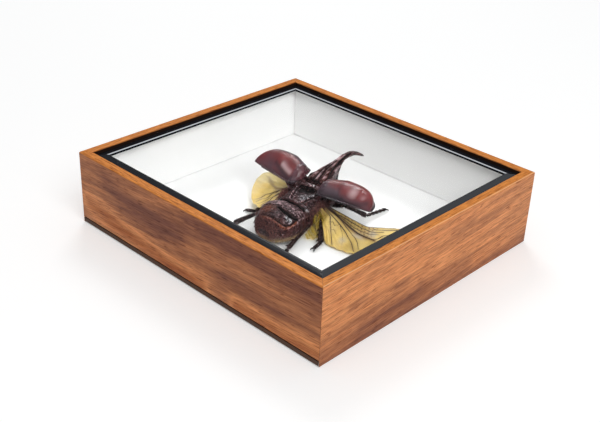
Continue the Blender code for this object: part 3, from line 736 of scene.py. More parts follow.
# Patches of colour on the rails that the photograph shows: strokes over (distance along, height)
RAIL_PATCHES = {
    "front": [
        ([(-74.0, 38.0), (-60.0, 35.0), (-10.0, 30.0)], 8.0, 0.0, 0.0, -0.4),
        ([(0.0, 40.0), (96.0, 42.0)], 6.0, 0.0, 0.0, -0.45),
        ([(-60.0, 22.0), (-20.0, 18.0)], 6.0, 0.0, 0.0, -0.25),
        ([(30.0, 22.0), (70.0, 16.0)], 7.0, 0.0, 0.0, -0.25),
        ([(-92.0, 16.0), (-40.0, 8.0), (10.0, 5.0)], 8.0, 0.0, 0.0, 1.15),
        ([(40.0, 7.0), (98.0, 6.0)], 7.0, 0.0, 0.0, 1.05),
    ],
    "right": [
        ([(14.0, 37.0), (32.0, 38.0)], 3.5, 0.0, 0.0, -0.35),
        ([(-92.0, 2.0), (-40.0, 2.0), (10.0, 5.0), (92.0, 4.0)], 12.0, 0.0, 0.0, -0.65),
        ([(-60.0, 9.0), (-20.0, 9.0)], 6.0, 0.0, 0.0, -0.3),
        ([(-12.0, 15.0)], 4.5, 0.0, 0.0, -0.3),
        ([(-70.0, 26.0), (-58.0, 27.0)], 2.0, 0.0, 0.0, -0.5),
        ([(-34.0, 22.0), (-24.0, 23.0)], 1.8, 0.0, 0.0, -0.5),
        ([(40.0, 10.0), (90.0, 14.0)], 5.0, 0.0, 0.0, 0.6),
    ],
}


def corner_arc(inset, z, radius, start, steps=6):
    """Points of a quarter round, from the angle start, in degrees, clockwise."""
    angles = np.radians(start - 90.0 * np.arange(steps + 1) / steps)
    return [(inset + radius * math.cos(a), z + radius * math.sin(a)) for a in angles]


def moulding(side, profile, slack, steps=96):
    """A mitred length: its grid of points, and how far along, inward and up each of them is."""
    outward = np.array([*SIDES[side], 0.0])
    along = np.array([-outward[1], outward[0], 0.0])
    reach, half = (BOX_HALF_X, BOX_HALF_Y) if outward[0] else (BOX_HALF_Y, BOX_HALF_X)
    inset, z = np.array(profile).T
    run = np.linspace(-1, 1, steps + 1)[:, None] * (half - inset - slack)
    grid = outward * (reach - inset)[:, None] + along * run[..., None] + (0, 0, 1) * z[:, None]
    return grid, run, np.broadcast_to(inset, run.shape), np.broadcast_to(z, run.shape)


def make_rail(side, settings, look):
    """One rail. Its grain runs along it, a little askew, and its top is a brighter orange."""
    foot = 0.0 if side in ("left", "right") else FRONT_RAIL_FOOT
    edge = settings.edge_round / MM
    inner = RAIL_INSET - RAIL_INNER_ROUND
    profile = [(RAIL_INSET, foot)]
    profile += corner_arc(RAIL_FOOT_ROUND, foot + RAIL_FOOT_ROUND, RAIL_FOOT_ROUND, 270, 4)
    heights = np.linspace(foot + RAIL_FOOT_ROUND, BOX_TOP - edge, 16)
    profile += [(0.0, height) for height in heights[1:-1]]
    profile += corner_arc(edge, BOX_TOP - edge, edge, 180)
    profile += corner_arc(inner, BOX_TOP - RAIL_INNER_ROUND, RAIL_INNER_ROUND, 90, 4)
    profile += [(RAIL_INSET, BOX_TOP - INNER_SHADE_DROP)]
    grid, along, inset, z = moulding(side, profile, settings.mitre_gap / MM * MITRE_SHARE)
    tone = np.clip((z - (BOX_TOP - edge)) / edge, 0, 1)
    # A painted highlight line along the outer edge's round
    edge_highlight = bump(inset - ARRIS_PLACE * edge, ARRIS_WIDTH * edge) * (tone > 0.3)
    tone = tone + ARRIS_HIGHLIGHT[side] * edge_highlight
    # The inner face below the top is painted near black: painted shade
    inner_face = (inset > RAIL_INSET - 0.01) & (z < BOX_TOP - INNER_SHADE_DROP + 0.1)
    tone = np.where(inner_face, -1.0, tone)
    patches = strokes(np.stack([along, z], -1), RAIL_PATCHES.get(side, ()))[2]
    rail = Clay()
    # The tint also carries the front rail's painted shade
    rail.shell(grid, tone, tint=np.clip(RAIL_TINT_AND_SHADE[side] + patches, -1, 1))
    thing = rail.piece("rail_" + side, [look], ["rail_" + side], 40, beetle=False)
    cos, sin = math.cos(GRAIN_TILT), math.sin(GRAIN_TILT)
    shift = GRAIN_SHIFT[side]
    grain = np.stack([along * cos + z * sin + shift, inset + shift / 7, z * cos - along * sin], -1)
    grain = np.vstack([grain.reshape(-1, 3), grain[0].mean(0), grain[-1].mean(0)])
    mark = thing.data.attributes.new("grain", "FLOAT_VECTOR", "POINT")
    mark.data.foreach_set("vector", grain.astype(np.float32).ravel())


# The bead's section: (in from the strip's outer edge, below its top)
STRIP_BEAD = [(4.7, 0.27), (5.4, 0.05), (6.1, 0.0), (6.55, 0.12)]
BEAD_CREST = 6.1
# How far below the top the slope starts, outside, and the bead ends, inside
SLOPE_DROP = 0.9
LIP_DROP = 0.5
STRIP_SLACK = 0.06
# How strong a highlight is painted on each strip's crest, and how much a painted reflection lightens
# the whole of it
STRIP_CREST_HIGHLIGHT = {"front": 0.0, "right": 0.0, "back": 1.0, "left": 1.0}
STRIP_REFLECTION = {"front": 0.0, "right": 0.05, "back": 0.0, "left": 0.0}


def make_strip(side, look):
    """A length of black moulding: a low outer edge, a slope and a rounded inner bead."""
    outer = BOX_HALF_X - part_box("strip_right")[1].x / MM
    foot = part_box("strip_front")[0].z / MM
    slope_start = STRIP_TOP - SLOPE_DROP
    stops = [(outer + inset, STRIP_TOP - drop) for inset, drop in STRIP_BEAD]
    bead = curve_through(stops + [(STRIP_INNER, STRIP_TOP - LIP_DROP)], 12)
    profile = [(outer, foot), (outer, slope_start - 0.1), (outer + 0.1, slope_start)]
    profile += [tuple(point) for point in bead] + [(STRIP_INNER, foot)]
    grid, _, inset, z = moulding(side, profile, STRIP_SLACK)
    # The bead's crest, where a painted highlight runs on the far strips
    crest = bump(inset - outer - BEAD_CREST, 0.5) * (z > STRIP_TOP - 0.3)
    strip = Clay()
    # Grey painted on the strip: the crest's highlight and the painted reflection
    strip.shell(grid, crest * STRIP_CREST_HIGHLIGHT[side] + STRIP_REFLECTION[side])
    strip.piece("strip_" + side, [look], ["strip_" + side], 40, beetle=False)


def dress(node, look):
    """Gives a CAD node a finish, and keeps its shape."""
    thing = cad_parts[node]
    thing.data.materials.clear()
    thing.data.materials.append(look)


# ---------------------------------------------------------------- the beetle's trunk

# How square a cross-section is: 1 is an ellipse, and lower is fuller at its corners
ROUND = 0.88
BROAD_BACKED = 0.78
FLAT_BACKED = 0.72
# A station is (y and z of the underside, y and z of the back, half width), from hind to front, and
# on the pronotum also the share by which the upper part is narrower
ABDOMEN_TAIL = (0.0, -48.2, 10.0)
ABDOMEN = [
    ((-47.6, 7.6), (-47.4, 12.4), 4.4),
    ((-46.4, 5.8), (-46.0, 15.2), 7.2),
    ((-44.6, 4.6), (-44.4, 17.4), 9.6),
    ((-42.4, 3.9), (-42.4, 18.9), 11.4),
    ((-40.0, 3.3), (-40.0, 19.9), 12.8),
    ((-36.6, 2.7), (-36.6, 20.6), 13.8),
    ((-33.0, 2.2), (-33.0, 20.8), 14.2),
    ((-29.4, 2.0), (-29.4, 20.5), 13.9),
    ((-26.4, 2.1), (-26.4, 19.6), 13.1),
    ((-24.0, 2.6), (-24.0, 18.7), 12.2),
    ((-23.1, 3.2), (-23.1, 18.5), 12.0),
    ((-22.9, 3.4), (-22.9, 18.0), 11.4),
]
THORAX = [
    ((-22.7, 3.8), (-22.7, 18.6), 11.4),
    ((-22.3, 3.0), (-22.3, 19.5), 11.7),
    ((-20.9, 2.8), (-20.9, 19.9), 12.0),
    ((-19.6, 2.8), (-19.6, 19.0), 12.1),
    ((-14.0, 3.0), (-14.0, 20.2), 12.3),
    ((-9.0, 3.2), (-9.0, 21.3), 12.3),
    ((-6.6, 3.4), (-6.6, 21.6), 12.1),
    ((-5.6, 3.5), (-5.6, 22.7), 11.9),
    ((-2.6, 3.8), (-2.6, 23.2), 11.4),
    ((-1.0, 4.2), (-1.0, 22.6), 11.0),
    ((-0.3, 5.0), (-0.3, 21.4), 10.0),
]
PRONOTUM = [
    ((0.0, 6.6), (0.0, 22.2), 11.0, 0.0),
    ((0.5, 5.6), (0.5, 23.6), 12.2, 0.0),
    ((2.6, 5.0), (2.6, 25.4), 12.7, 0.06),
    ((6.0, 4.8), (6.0, 27.0), 12.8, 0.2),
    ((10.0, 5.0), (10.0, 28.4), 12.3, 0.36),
    ((13.6, 5.4), (14.0, 29.2), 11.0, 0.48),
    ((16.4, 6.4), (18.0, 29.8), 8.5, 0.54),
    ((17.8, 9.4), (21.6, 30.2), 5.3, 0.47),
    ((18.6, 14.6), (25.0, 30.7), 3.3, 0.25),
    ((19.4, 19.8), (28.2, 31.1), 2.4, 0.0),
    ((21.6, 24.6), (31.4, 31.3), 2.1, 0.0),
    ((27.2, 27.4), (34.6, 31.2), 1.9, 0.0),
    ((34.0, 27.9), (37.8, 30.8), 1.9, 0.0),
    ((39.4, 27.3), (41.4, 29.7), 1.7, 0.0),
    ((43.6, 26.0), (45.2, 28.0), 1.4, 0.0),
    ((47.4, 24.3), (48.8, 25.9), 1.1, 0.0),
    ((50.8, 22.8), (51.8, 23.9), 0.8, 0.0),
]
HORN_TIP = (0.0, 54.3, 21.5)
HEAD = [
    ((14.0, 6.6), (14.0, 9.6), 3.4),
    ((16.0, 4.6), (16.0, 11.4), 5.6),
    ((20.0, 3.4), (20.0, 12.8), 7.0),
    ((24.0, 2.8), (24.0, 13.2), 7.2),
    ((28.0, 2.8), (28.0, 12.0), 6.4),
    ((30.8, 3.2), (30.8, 9.8), 5.2),
    ((33.2, 3.8), (33.2, 7.6), 4.2),
    ((34.4, 4.6), (34.4, 6.6), 3.0),
]


def signed_power(values, power):
    """The values' sizes raised to a power, with their signs kept."""
    return np.sign(values) * np.abs(values) ** power


def rings(stations, sides, roundness=ROUND, step=0.6, smoothing=6):
    """A grid of points over a row of cross-sections.

    Beside it come how far across each point is, from -1 to 1, and the half width there.
    """
    table = np.array([[*low, *top, half, *(pinch or [0.0])] for low, top, half, *pinch in stations])
    run = np.r_[0, np.cumsum(np.linalg.norm(np.diff(table[:, :5], axis=0), axis=1))]
    spots = np.linspace(0, run[-1], int(run[-1] / step) + 1)
    table = np.column_stack([np.interp(spots, run, column) for column in table.T])
    for _ in range(smoothing):
        table[1:-1] = (table[:-2] + 2 * table[1:-1] + table[2:]) / 4
    low, top, half, pinch = table[:, None, 0:2], table[:, None, 2:4], table[:, 4:5], table[:, 5:6]
    angle = 2 * np.pi * np.arange(sides) / sides
    up = signed_power(np.cos(angle), roundness)
    side = signed_power(np.sin(angle), roundness)
    width = half * (1 - pinch * np.clip((up + 0.6) / 0.9, 0, 1))
    height = (low + top) / 2 + (top - low) / 2 * up[:, None]
    grid = np.concatenate([(side * width)[..., None], height], -1)
    return grid, np.broadcast_to(side, width.shape), np.broadcast_to(half, width.shape)


def ring_normals(grid):
    """Unit normals of a skin of closed rings, pointing out."""
    across = np.roll(grid, -1, 1) - np.roll(grid, 1, 1)
    outward = grid - grid.mean(axis=1, keepdims=True)
    return unit_outward(np.cross(np.gradient(grid, axis=0), across), outward)


def sculpt(grid, height):
    """Raises the points of closed rings along the surface's normals."""
    return grid + ring_normals(grid) * height[..., None]


def roughness(grid, coarse, fine, seed):
    """Wrinkles and small lumps, as heights."""
    wrinkled = noise(grid * (1.0, 1.9, 1.0), 1.9, seed)
    return coarse * wrinkled + fine * noise(grid, 0.75, seed + 1)


# The rim of the hind plate, and the slit behind the abdomen's first plate
HIND_RIM = [
    (-8.0, -42.6, 17.0), (-4.6, -43.4, 17.9), (1.2, -43.1, 18.4), (5.7, -43.1, 17.7),
    (8.8, -42.4, 16.8), (10.8, -41.2, 16.3), (12.2, -38.4, 16.3), (12.7, -33.9, 16.6),
    (12.4, -29.4, 16.0), (11.7, -25.0, 14.5),
]
BACK_SLIT = [
    (-0.6, -33.8, 20.7), (2.4, -34.8, 20.6), (5.4, -35.8, 20.2), (9.6, -35.7, 19.1),
    (12.4, -33.6, 17.0),
]
LOWER_RIM = [(x * 1.01, y - 0.9, z - 0.9) for x, y, z in HIND_RIM[1:8]]
# The abdomen's grooves, folds, slits and spots: strokes over (x, y, z). The black of the grooves and
# the slit is painted shade, and the pale spots and the grey plate's pale are painted highlights
ABDOMEN_LINES = [
    (HIND_RIM[:2], 0.4, -0.2, -0.4, 0.0),
    (HIND_RIM[1:], 0.42, -0.6, -1.3, 0.0),
    (LOWER_RIM, 0.8, 0.7, 0.25, 1.2),
    (BACK_SLIT, 0.85, -1.9, -2.4, 0.0),
    ([(11.0, -30.4, 17.9), (13.2, -30.0, 15.0)], 0.5, -0.5, -0.9, 0.0),
    ([(10.0, -37.9, 18.6)], 2.1, 0.2, 1.1, -1.4),
    ([(8.2, -37.6, 19.4), (11.6, -37.6, 17.6)], 0.9, 0.2, 0.7, -1.0),
    ([(3.4, -38.8, 20.0)], 3.2, 0.0, 0.05, -0.5),
    ([(-5.6, -38.0, 20.0)], 4.6, 0.0, 0.0, 0.5),
    ([(7.6, -43.2, 16.4)], 2.4, 0.0, 0.1, 0.4),
    ([(-2.6, -32.4, 20.6)], 0.9, 0.3, 1.0, -0.4),
    ([(-6.6, -27.0, 19.4)], 0.9, 0.3, 0.9, -0.4),
    ([(-9.0, -33.0, 19.0), (-2.0, -36.6, 20.4)], 0.3, -0.2, -0.5, 0.2),
    ([(-10.0, -36.4, 18.2), (-3.0, -39.8, 19.8)], 0.3, -0.2, -0.5, 0.3),
    ([(-2.0, -40.6, 19.6), (6.0, -41.0, 19.0)], 0.3, -0.2, -0.6, -0.2),
    ([(1.0, -37.0, 20.5), (7.0, -38.6, 19.6)], 0.35, -0.35, -0.8, -0.2),
]


def abdomen_form(depth):
    """A wrinkled first plate with painted glints, a slit painted black as shade, a smooth plate behind
    it with a painted grey highlight, and a rimmed hind plate.
    """
    grid, _, _ = rings(ABDOMEN, sides=190, roundness=BROAD_BACKED, step=0.48, smoothing=3)
    x, y, z = np.moveaxis(grid, -1, 0)
    drop = 2.0 * ramp_up(-y, 31.0, 43.0) * (x / 12.5) ** 2 * ramp_up(z, 9.0, 14.0)
    back = ramp_up(z, 13.0, 16.0)
    first = back * ramp_up(y, -34.6, -33.4) * ramp_up(-y, 23.4, 24.0)
    rear = ramp_up(-y - 0.4 * (18 - z), 40.4, 44.0) * (z < 20)
    height, tone, tint = strokes(grid, ABDOMEN_LINES)
    wrinkles = noise(grid * (0.55, 1.5, 1.0), 1.5, 9)
    height += first * (0.35 + 0.4 * wrinkles) + (1 - first) * roughness(grid, 0.2, 0.16, 3)
    # Painted glints on the first plate's wrinkles, and a painted shadow line at the joint with the
    # thorax
    tone += first * (0.5 + 0.9 * wrinkles) - 0.9 * bump(y + 22.9, 0.25) * back
    tint += -0.35 * first - 0.3 * rear - 0.4 * ramp_up(-x, 2.0, 7.0) * ramp_up(-z, -16, -12)
    side_plates = (1 - back) * np.sin(y * 1.15)
    height += 0.25 * side_plates
    tone += 0.3 * (1 - back) * np.clip(-side_plates, -1, 0) + 0.3 * noise(grid, 1.2, 19)
    grid = grid - drop[..., None] * (0, 0, 1)
    return sculpt(grid, depth * height), np.clip(tone, -1, 1), np.clip(tint, -1, 1)


# The thorax's ridges, grooves and bands: strokes over (x, y), the same on both sides. Pale ridges and
# bands carry painted highlights, and black grooves painted shade
THORAX_LINES = [
    ([(7.2, -6.6), (6.6, -10.4), (5.7, -13.6), (3.9, -19.0)], 0.4, 0.9, 2.2, -0.6),
    ([(8.3, -6.8), (7.7, -10.4), (6.8, -13.8), (5.0, -19.0)], 0.42, -0.6, -1.5, 0.0),
    ([(6.4, -6.6), (5.8, -10.2), (5.0, -13.4), (3.2, -19.0)], 0.3, -0.5, -1.6, 0.0),
    ([(5.6, -6.6), (5.0, -10.2), (4.2, -13.4), (2.3, -18.8)], 0.32, 0.4, 1.5, -0.6),
    ([(0.0, -20.9), (6.0, -20.8), (12.2, -20.2)], 0.8, 0.6, 0.35, -0.5),
    ([(0.0, -19.3), (6.0, -19.2), (12.2, -18.7)], 0.36, -0.5, -0.8, 0.0),
    ([(0.0, -22.6), (6.0, -22.5), (12.2, -22.2)], 0.3, -0.1, -1.6, 0.0),
    ([(0.0, -5.9), (6.0, -6.0), (12.0, -6.6)], 0.55, -1.0, -2.2, 0.0),
    ([(0.0, -2.7), (7.0, -2.7), (10.5, -3.1)], 1.9, 0.2, 0.5, -0.4),
    ([(0.0, -0.3), (6.0, -0.3), (10.5, -0.5)], 0.4, -0.3, -1.2, 0.0),
    ([(9.6, -4.4), (9.4, -1.6)], 0.9, 0.0, -0.5, 0.2),
]
# Two painted glints, pale spots on its right side: strokes over (x, y, z)
THORAX_GLINTS = [
    ([(10.5, -21.3, 16.7)], 0.75, 0.2, 2.2, -1.0),
    ([(2.3, -3.2, 23.0)], 0.8, 0.3, 1.6, -1.0),
]


def thorax_form(depth):
    """A hollow back between slanting ridges, a straight hind ridge, and a rough band in front."""
    grid, _, _ = rings(THORAX, sides=190, roundness=FLAT_BACKED, step=0.42, smoothing=3)
    x, y, z = np.moveaxis(grid, -1, 0)
    back = ramp_up(z, 14.0, 16.5)
    edge = 3.4 + 0.3 * (y + 20.0)
    place = np.abs(x) / np.maximum(edge, 0.5)
    inside = back * ramp_up(y, -19.9, -18.6) * ramp_up(-y, 6.0, 6.8)
    hollow = inside * np.where(place < 1, 2.3 * (place**2 - 1), 0.0)
    mirrored = np.stack([np.abs(x), y], -1)
    height, tone, tint = strokes(mirrored, THORAX_LINES) + strokes(grid, THORAX_GLINTS)
    fan = np.sin(34 * np.arctan2(y + 2.0, x - 9.0))
    silver = inside * bump(np.hypot((x - 3.0) / 1.3, y + 12.6), 5.4) * (place < 1.15)
    # The hollow is painted dark as shade, less so where it is silver or brown
    dark = inside * (1 - ramp_up(place, 0.95, 1.05)) * np.clip(1.25 - 1.6 * silver, 0, 1)
    brown = inside * ramp_up(-y - 0.45 * x, 13.5, 16.0) * (place < 1.3)
    strip = back * ramp_up(np.abs(x), 7.4, 8.6) * (y < -6)
    tone = back * tone + silver * (0.45 + 0.75 * fan) - 0.95 * dark * (1 - brown) + 0.25 * brown * fan
    tint = tint - 1.2 * silver - 0.35 * strip + 0.35 * brown
    plates = 0.5 * (bump(y + 14, 0.5) + bump(y + 7, 0.5)) * (1 - back)
    height = back * height + hollow + 0.12 * fan * silver - plates + roughness(grid, 0.12, 0.14, 5)
    tone += 0.6 * np.clip(noise(grid, 1.0, 21), -1, 1) * back * (1 - inside)
    return sculpt(grid, depth * height), np.clip(tone, -1, 1), np.clip(tint, -1, 1)


# The shield's ridges and the grooves between them: strokes over (x, y), the same on both sides. Pale
# ridges carry painted highlights, and black grooves painted shade
PRONOTUM_LINES = [
    ([(0.0, 1.6), (0.0, 12.0), (0.0, 30.0)], 0.5, 0.55, 1.1, -0.3),
    ([(1.5, 1.4), (1.3, 6.0), (0.8, 13.0), (0.45, 22.0)], 0.38, -0.6, -1.7, 0.0),
    ([(4.2, 2.6), (3.7, 6.0), (2.2, 14.0), (1.25, 22.0), (0.9, 30.0)], 1.0, 0.5, 0.55, 0.15),
    ([(6.4, 3.6), (5.6, 7.0), (3.3, 13.6), (2.0, 20.0), (1.5, 28.0), (1.3, 36.0)],
     0.36, -0.7, -1.9, 0.0),
    ([(7.4, 5.4), (6.4, 9.2), (4.1, 14.6), (2.5, 21.0), (2.0, 28.0)], 0.5, 0.5, 0.7, 0.1),
    ([(9.0, 5.0), (8.0, 9.0), (5.4, 15.0), (3.4, 20.0)], 0.4, -0.5, -1.2, 0.0),
]


def pronotum_form(depth):
    """A shield whose lengthwise ridges run together into the long horn."""
    grid, side, half = rings(PRONOTUM, sides=160)
    x, y, z = np.moveaxis(grid, -1, 0)
    back = ramp_up(z, 14.0, 18.0)
    mirrored = np.stack([np.abs(x), y], -1)
    height, tone, tint = strokes(mirrored, PRONOTUM_LINES)
    margin = back * bump(y - 0.8, 0.4)
    size = 0.25 + 0.75 * half / 12.8
    flank = back * ramp_up(np.abs(side), 0.6, 0.85) * (y < 32)
    lumps = roughness(grid * (1.0, 0.6, 1.0), 0.14, 0.13, 7)
    height = back * height * size + size * lumps - 0.5 * margin
    # A painted shadow line along the hind margin
    tone = back * tone - 1.1 * margin + 0.2 * noise(grid * (1, 0.3, 1), 1.1, 8) * (y < 40)
    horn = ramp_up(y, 34.0, 40.0)
    tint = back * tint - 0.45 * flank + 0.12 * horn
    # Along the horn, a painted soft highlight on its top and a darker tip
    horn_tone = 0.15 * ramp_up(z - 26.5 + 0.25 * (y - 40), 0.0, 2.0) - 0.3 * ramp_up(y, 44, 52)
    tone = tone * (1 - horn) + horn * horn_tone
    return sculpt(grid, depth * height), np.clip(tone, -1, 1), np.clip(tint, -1, 1)


def head_form(depth):
    """A low head with a brow ridge and a two-edged snout."""
    grid, side, _ = rings(HEAD, sides=96, step=0.525)
    y, z = grid[..., 1], grid[..., 2]
    brow = bump(y - 27.5, 0.8) * ramp_up(z, 9.0, 11.0)
    snout = bump(np.abs(side) - 0.75, 0.12) * ramp_up(y, 28.0, 31.0)
    height = 0.7 * brow + 0.5 * snout + roughness(grid, 0.12, 0.09, 11)
    return sculpt(grid, depth * height), np.clip(0.7 * brow + 0.4 * snout, -1, 1)


LUMP_ROWS = 26
# Rough lumps where the wings join the thorax: (path, radii at its start, middle and end, flatness)
WING_ROOTS = [
    ([(12.0, -4.6, 13.4), (12.8, -9.0, 15.2), (12.8, -13.0, 16.2), (12.0, -17.2, 13.8)],
     (0.5, 1.6, 0.6), 0.8),
    ([(9.6, -9.6, 19.4), (11.4, -9.8, 21.4), (12.4, -9.6, 23.0)], (1.9, 1.3, 0.9), 0.8),
    ([(9.0, -5.6, 20.4), (11.6, -7.6, 21.2), (13.4, -10.4, 22.4)], (1.4, 1.0, 0.6), 0.8),
    ([(5.6, -2.6, 22.0), (8.6, -3.4, 23.4), (10.8, -6.4, 23.8), (12.0, -9.6, 22.8)],
     (1.2, 1.7, 1.0), 0.8),
    ([(9.6, -12.0, 18.6), (11.6, -12.8, 19.4), (13.0, -12.6, 20.6)], (1.5, 1.2, 0.7), 0.8),
    ([(-12.0, -3.8, 18.2), (-12.6, -8.0, 17.8), (-12.6, -12.0, 16.4), (-12.0, -16.2, 13.8)],
     (0.5, 1.3, 0.6), 0.8),
    ([(-9.6, -9.6, 19.4), (-11.8, -9.8, 21.4), (-13.4, -9.6, 23.0)], (1.9, 1.3, 0.9), 0.8),
    ([(-9.0, -5.6, 20.4), (-12.0, -7.4, 21.2), (-14.2, -9.6, 22.4)], (1.4, 1.0, 0.6), 0.8),
    ([(-4.6, -2.8, 22.4), (-7.4, -2.4, 23.6), (-9.4, -3.8, 24.2), (-11.6, -7.4, 23.4)],
     (1.2, 2.0, 1.3), 0.85),
    ([(-6.6, -4.8, 21.6), (-8.8, -5.6, 22.6), (-11.0, -8.4, 22.6)], (1.5, 1.7, 1.1), 0.85),
    ([(-7.8, -2.0, 22.6), (-8.2, 0.4, 23.8), (-9.4, 2.8, 23.2)], (1.2, 1.9, 1.4), 0.9),
]


def make_trunk(name, form, depth, looks, tips=(None, None), extras=()):
    """One piece of the trunk. extras are (path, radii, flat) of rough lumps that stand on it."""
    grid, tone, tint = form(depth)
    body = Clay()
    body.shell(grid, tone, 0, *tips, tint)
    for path, radii, flat in extras:
        middle = curve_through(path, LUMP_ROWS)
        girth = np.interp(np.linspace(0, 1, LUMP_ROWS), (0, 0.5, 1), radii)
        girth = girth * (1 + 0.22 * noise(middle, 1.2, 23))
        body.tube(middle, girth, 14, flat, tint=-0.1)
    body.piece(name, looks, [name])


EYE_SPOT = (6.1, 22.6, 9.0)
EYE_RADIUS = 1.9
JAW_PATH = [(2.6, 32.4, 5.0), (3.0, 34.4, 5.0), (1.9, 35.8, 5.2)]
PALP_PATH = [(3.6, 31.0, 4.0), (5.0, 33.2, 3.0), (4.8, 35.4, 2.4)]


def unit_ball(rows=22, sides=32):
    """Rings of points on a ball of radius 1, without its two poles."""
    turn = np.linspace(0, np.pi, rows)[1:-1, None]
    around = np.linspace(0, 2 * np.pi, sides, endpoint=False)
    x = np.sin(turn) * np.cos(around)
    y = np.sin(turn) * np.sin(around)
    return np.stack(np.broadcast_arrays(x, y, np.cos(turn)), -1)


def make_head(depth, looks):
    """The head with its two eyes, jaws and palps."""
    head = Clay()
    head.shell(*head_form(depth))
    for side in (-1, 1):
        head.shell(unit_ball() * EYE_RADIUS + (side * EYE_SPOT[0], *EYE_SPOT[1:]), number=1)
        jaw = curve_through(np.array(JAW_PATH) * (side, 1, 1), 10)
        head.tube(jaw, np.linspace(1.0, 0.35, 10), 10, 0.7)
        palp = curve_through(np.array(PALP_PATH) * (side, 1, 1), 12)
        head.tube(palp, 0.35 + 0.15 * np.abs(np.sin(np.linspace(0, 9, 12))), 8)
    head.piece("head", looks, ["head"])


# How much hairs differ in direction, stray from the skin's points and are sunk into the skin
HAIR_JITTER = 0.25
HAIR_STRAY = 0.12
HAIR_SINK = 0.15
HAIR_RADIUS = 0.075
# The line at the right flank along which hair grows at the wing's hinge, and its number of points
WING_HINGE = [(11.6, -4.4, 14.6), (12.2, -9.0, 17.0), (12.2, -13.4, 17.4), (11.8, -17.6, 14.4)]
HINGE_ROWS = 90


def coat_of_bristles(clay, grid, weight, count, length, lean, seed, radius=HAIR_RADIUS, tint=0.0):
    """count hairs at random points of a skin, more of them where weight is high, leaning along lean."""
    random = np.random.default_rng(seed)
    normals = ring_normals(grid).reshape(-1, 3)
    chance = np.clip(weight, 0, None).reshape(-1)
    picked = random.choice(chance.size, count, p=chance / chance.sum())
    jitter = random.normal(0, HAIR_JITTER, (count, 3))
    ways = normals[picked] * 0.8 + np.asarray(lean) + jitter
    stray = random.normal(0, HAIR_STRAY, (count, 3))
    roots = grid.reshape(-1, 3)[picked] + stray - normals[picked] * HAIR_SINK
    tint = np.broadcast_to(tint, grid.shape[:2]).reshape(-1)[picked]
    clay.bristles(roots, ways, length * random.uniform(0.5, 1.2, count), radius, tint=tint)


def make_bristles(count, look):
    """The hair of the hind end, of the flanks and wing roots, and of the shield's hind edge."""
    abdomen = abdomen_form(1.0)[0]
    y, z = abdomen[..., 1], abdomen[..., 2]
    coat = Clay()
    hind = ramp_up(-y - 0.4 * (18 - z), 41.6, 43.6)
    under = ramp_up(-z, -9.0, -4.5)
    weight = hind + under + 0.05
    coat_of_bristles(coat, abdomen, weight, count, 1.5, (0, -0.7, -0.6), 31, radius=0.09, tint=under)
    coat.piece("abdomen_bristles", [look])
    flank = Clay()
    thorax = thorax_form(1.0)[0]
    x, y, z = np.moveaxis(thorax, -1, 0)
    front_edge = 0.4 * bump(y + 5.4, 0.7) * (z > 15)
    sides = ramp_up(np.abs(x), 8.5, 11.0) * ramp_up(-z, -20.0, -15.0) + front_edge
    coat_of_bristles(flank, thorax, sides, count // 3, 1.9, (0, -0.5, 0.1), 32)
    random = np.random.default_rng(34)
    hinge = curve_through(WING_HINGE, HINGE_ROWS)
    for side in (-1, 1):
        roots = np.repeat(hinge, count // 750, axis=0) * (side, 1, 1)
        roots += random.normal(0, 0.8, roots.shape)
        ways = random.normal(0, 0.45, roots.shape) + (side * 0.9, -0.3, -0.1)
        lengths = random.uniform(1.2, 3.4, len(roots))
        flank.bristles(roots, ways, lengths, radius=0.12, droop=0.35)
    flank.piece("thorax_bristles", [look])
    fringe = Clay()
    pronotum = pronotum_form(1.0)[0]
    y, z = pronotum[..., 1], pronotum[..., 2]
    edge = bump(y - 0.6, 0.5) + 0.25 * ramp_up(-z, -12.0, -7.0) * (y < 19)
    coat_of_bristles(fringe, pronotum, edge, count // 6, 1.4, (0, -0.7, 0.0), 33)
    fringe.piece("pronotum_bristles", [look])


# ---------------------------------------------------------------- legs and feelers

# Where each leg leaves the body, its knee, its ankle and its toe
LEGS = {
    "leg_front_right": ((7.6, 9.5, 7.0), (16.6, 9.4, 9.4), (27.8, 17.8, 3.2), (30.6, 34.2, 1.7)),
    "leg_mid_right": ((8.4, -8.0, 5.6), (15.8, -13.3, 7.8), (25.3, -26.0, 2.9), (25.0, -31.8, 1.7)),
    "leg_hind_right": ((9.0, -15.6, 5.6), (13.6, -23.6, 7.6), (15.0, -44.2, 3.0), (19.4, -55.0, 1.7)),
    "leg_front_left": ((-7.6, 9.5, 7.0), (-15.6, 15.4, 8.6), (-17.6, 26.4, 3.2), (-25.6, 20.0, 1.7)),
    "leg_mid_left": ((-8.4, -8.0, 5.6), (-19.0, -12.0, 8.6), (-27.4, -22.0, 2.8), (-33.6, -22.6, 1.7)),
    "leg_hind_left": ((-9.0, -15.6, 5.6), (-16.4, -27.6, 9.4), (-27.4, -42.6, 3.4), (-33.4, -50.0, 1.7)),
}
SLIM_LEGS = {"leg_hind_right": 0.75}
# Stretches of leg: (share of the length, radius)
THIGH = [(0, 1.3), (0.2, 2.0), (0.5, 2.2), (0.8, 1.8), (0.94, 1.4), (1, 0.8)]
SHIN = [(0, 0.8), (0.06, 1.25), (0.3, 1.3), (0.6, 1.55), (0.88, 1.95), (0.97, 1.7), (1, 0.9)]
FOOT_JOINT = [(0, 0.4), (0.15, 0.7), (0.7, 1.3), (0.9, 1.15), (1, 0.5)]
FOOT_JOINTS = 5
FOOT_RADIUS = 0.6
SEGMENT_ROWS = 40
# The shin's teeth and its two spurs: where they stand or point, and their length and thickness
TOOTH_PLACES = (0.42, 0.66, 0.9)
TOOTH = (2.1, 0.75)
SPUR_TURNS = (-0.5, 0.25)
SPUR = (2.3, 0.34)
CLAW_REACH = 2.5
CLAW_DROP = 0.85
CLAW_BEND = math.radians(112)
CLAW_SPREAD = math.radians(32)
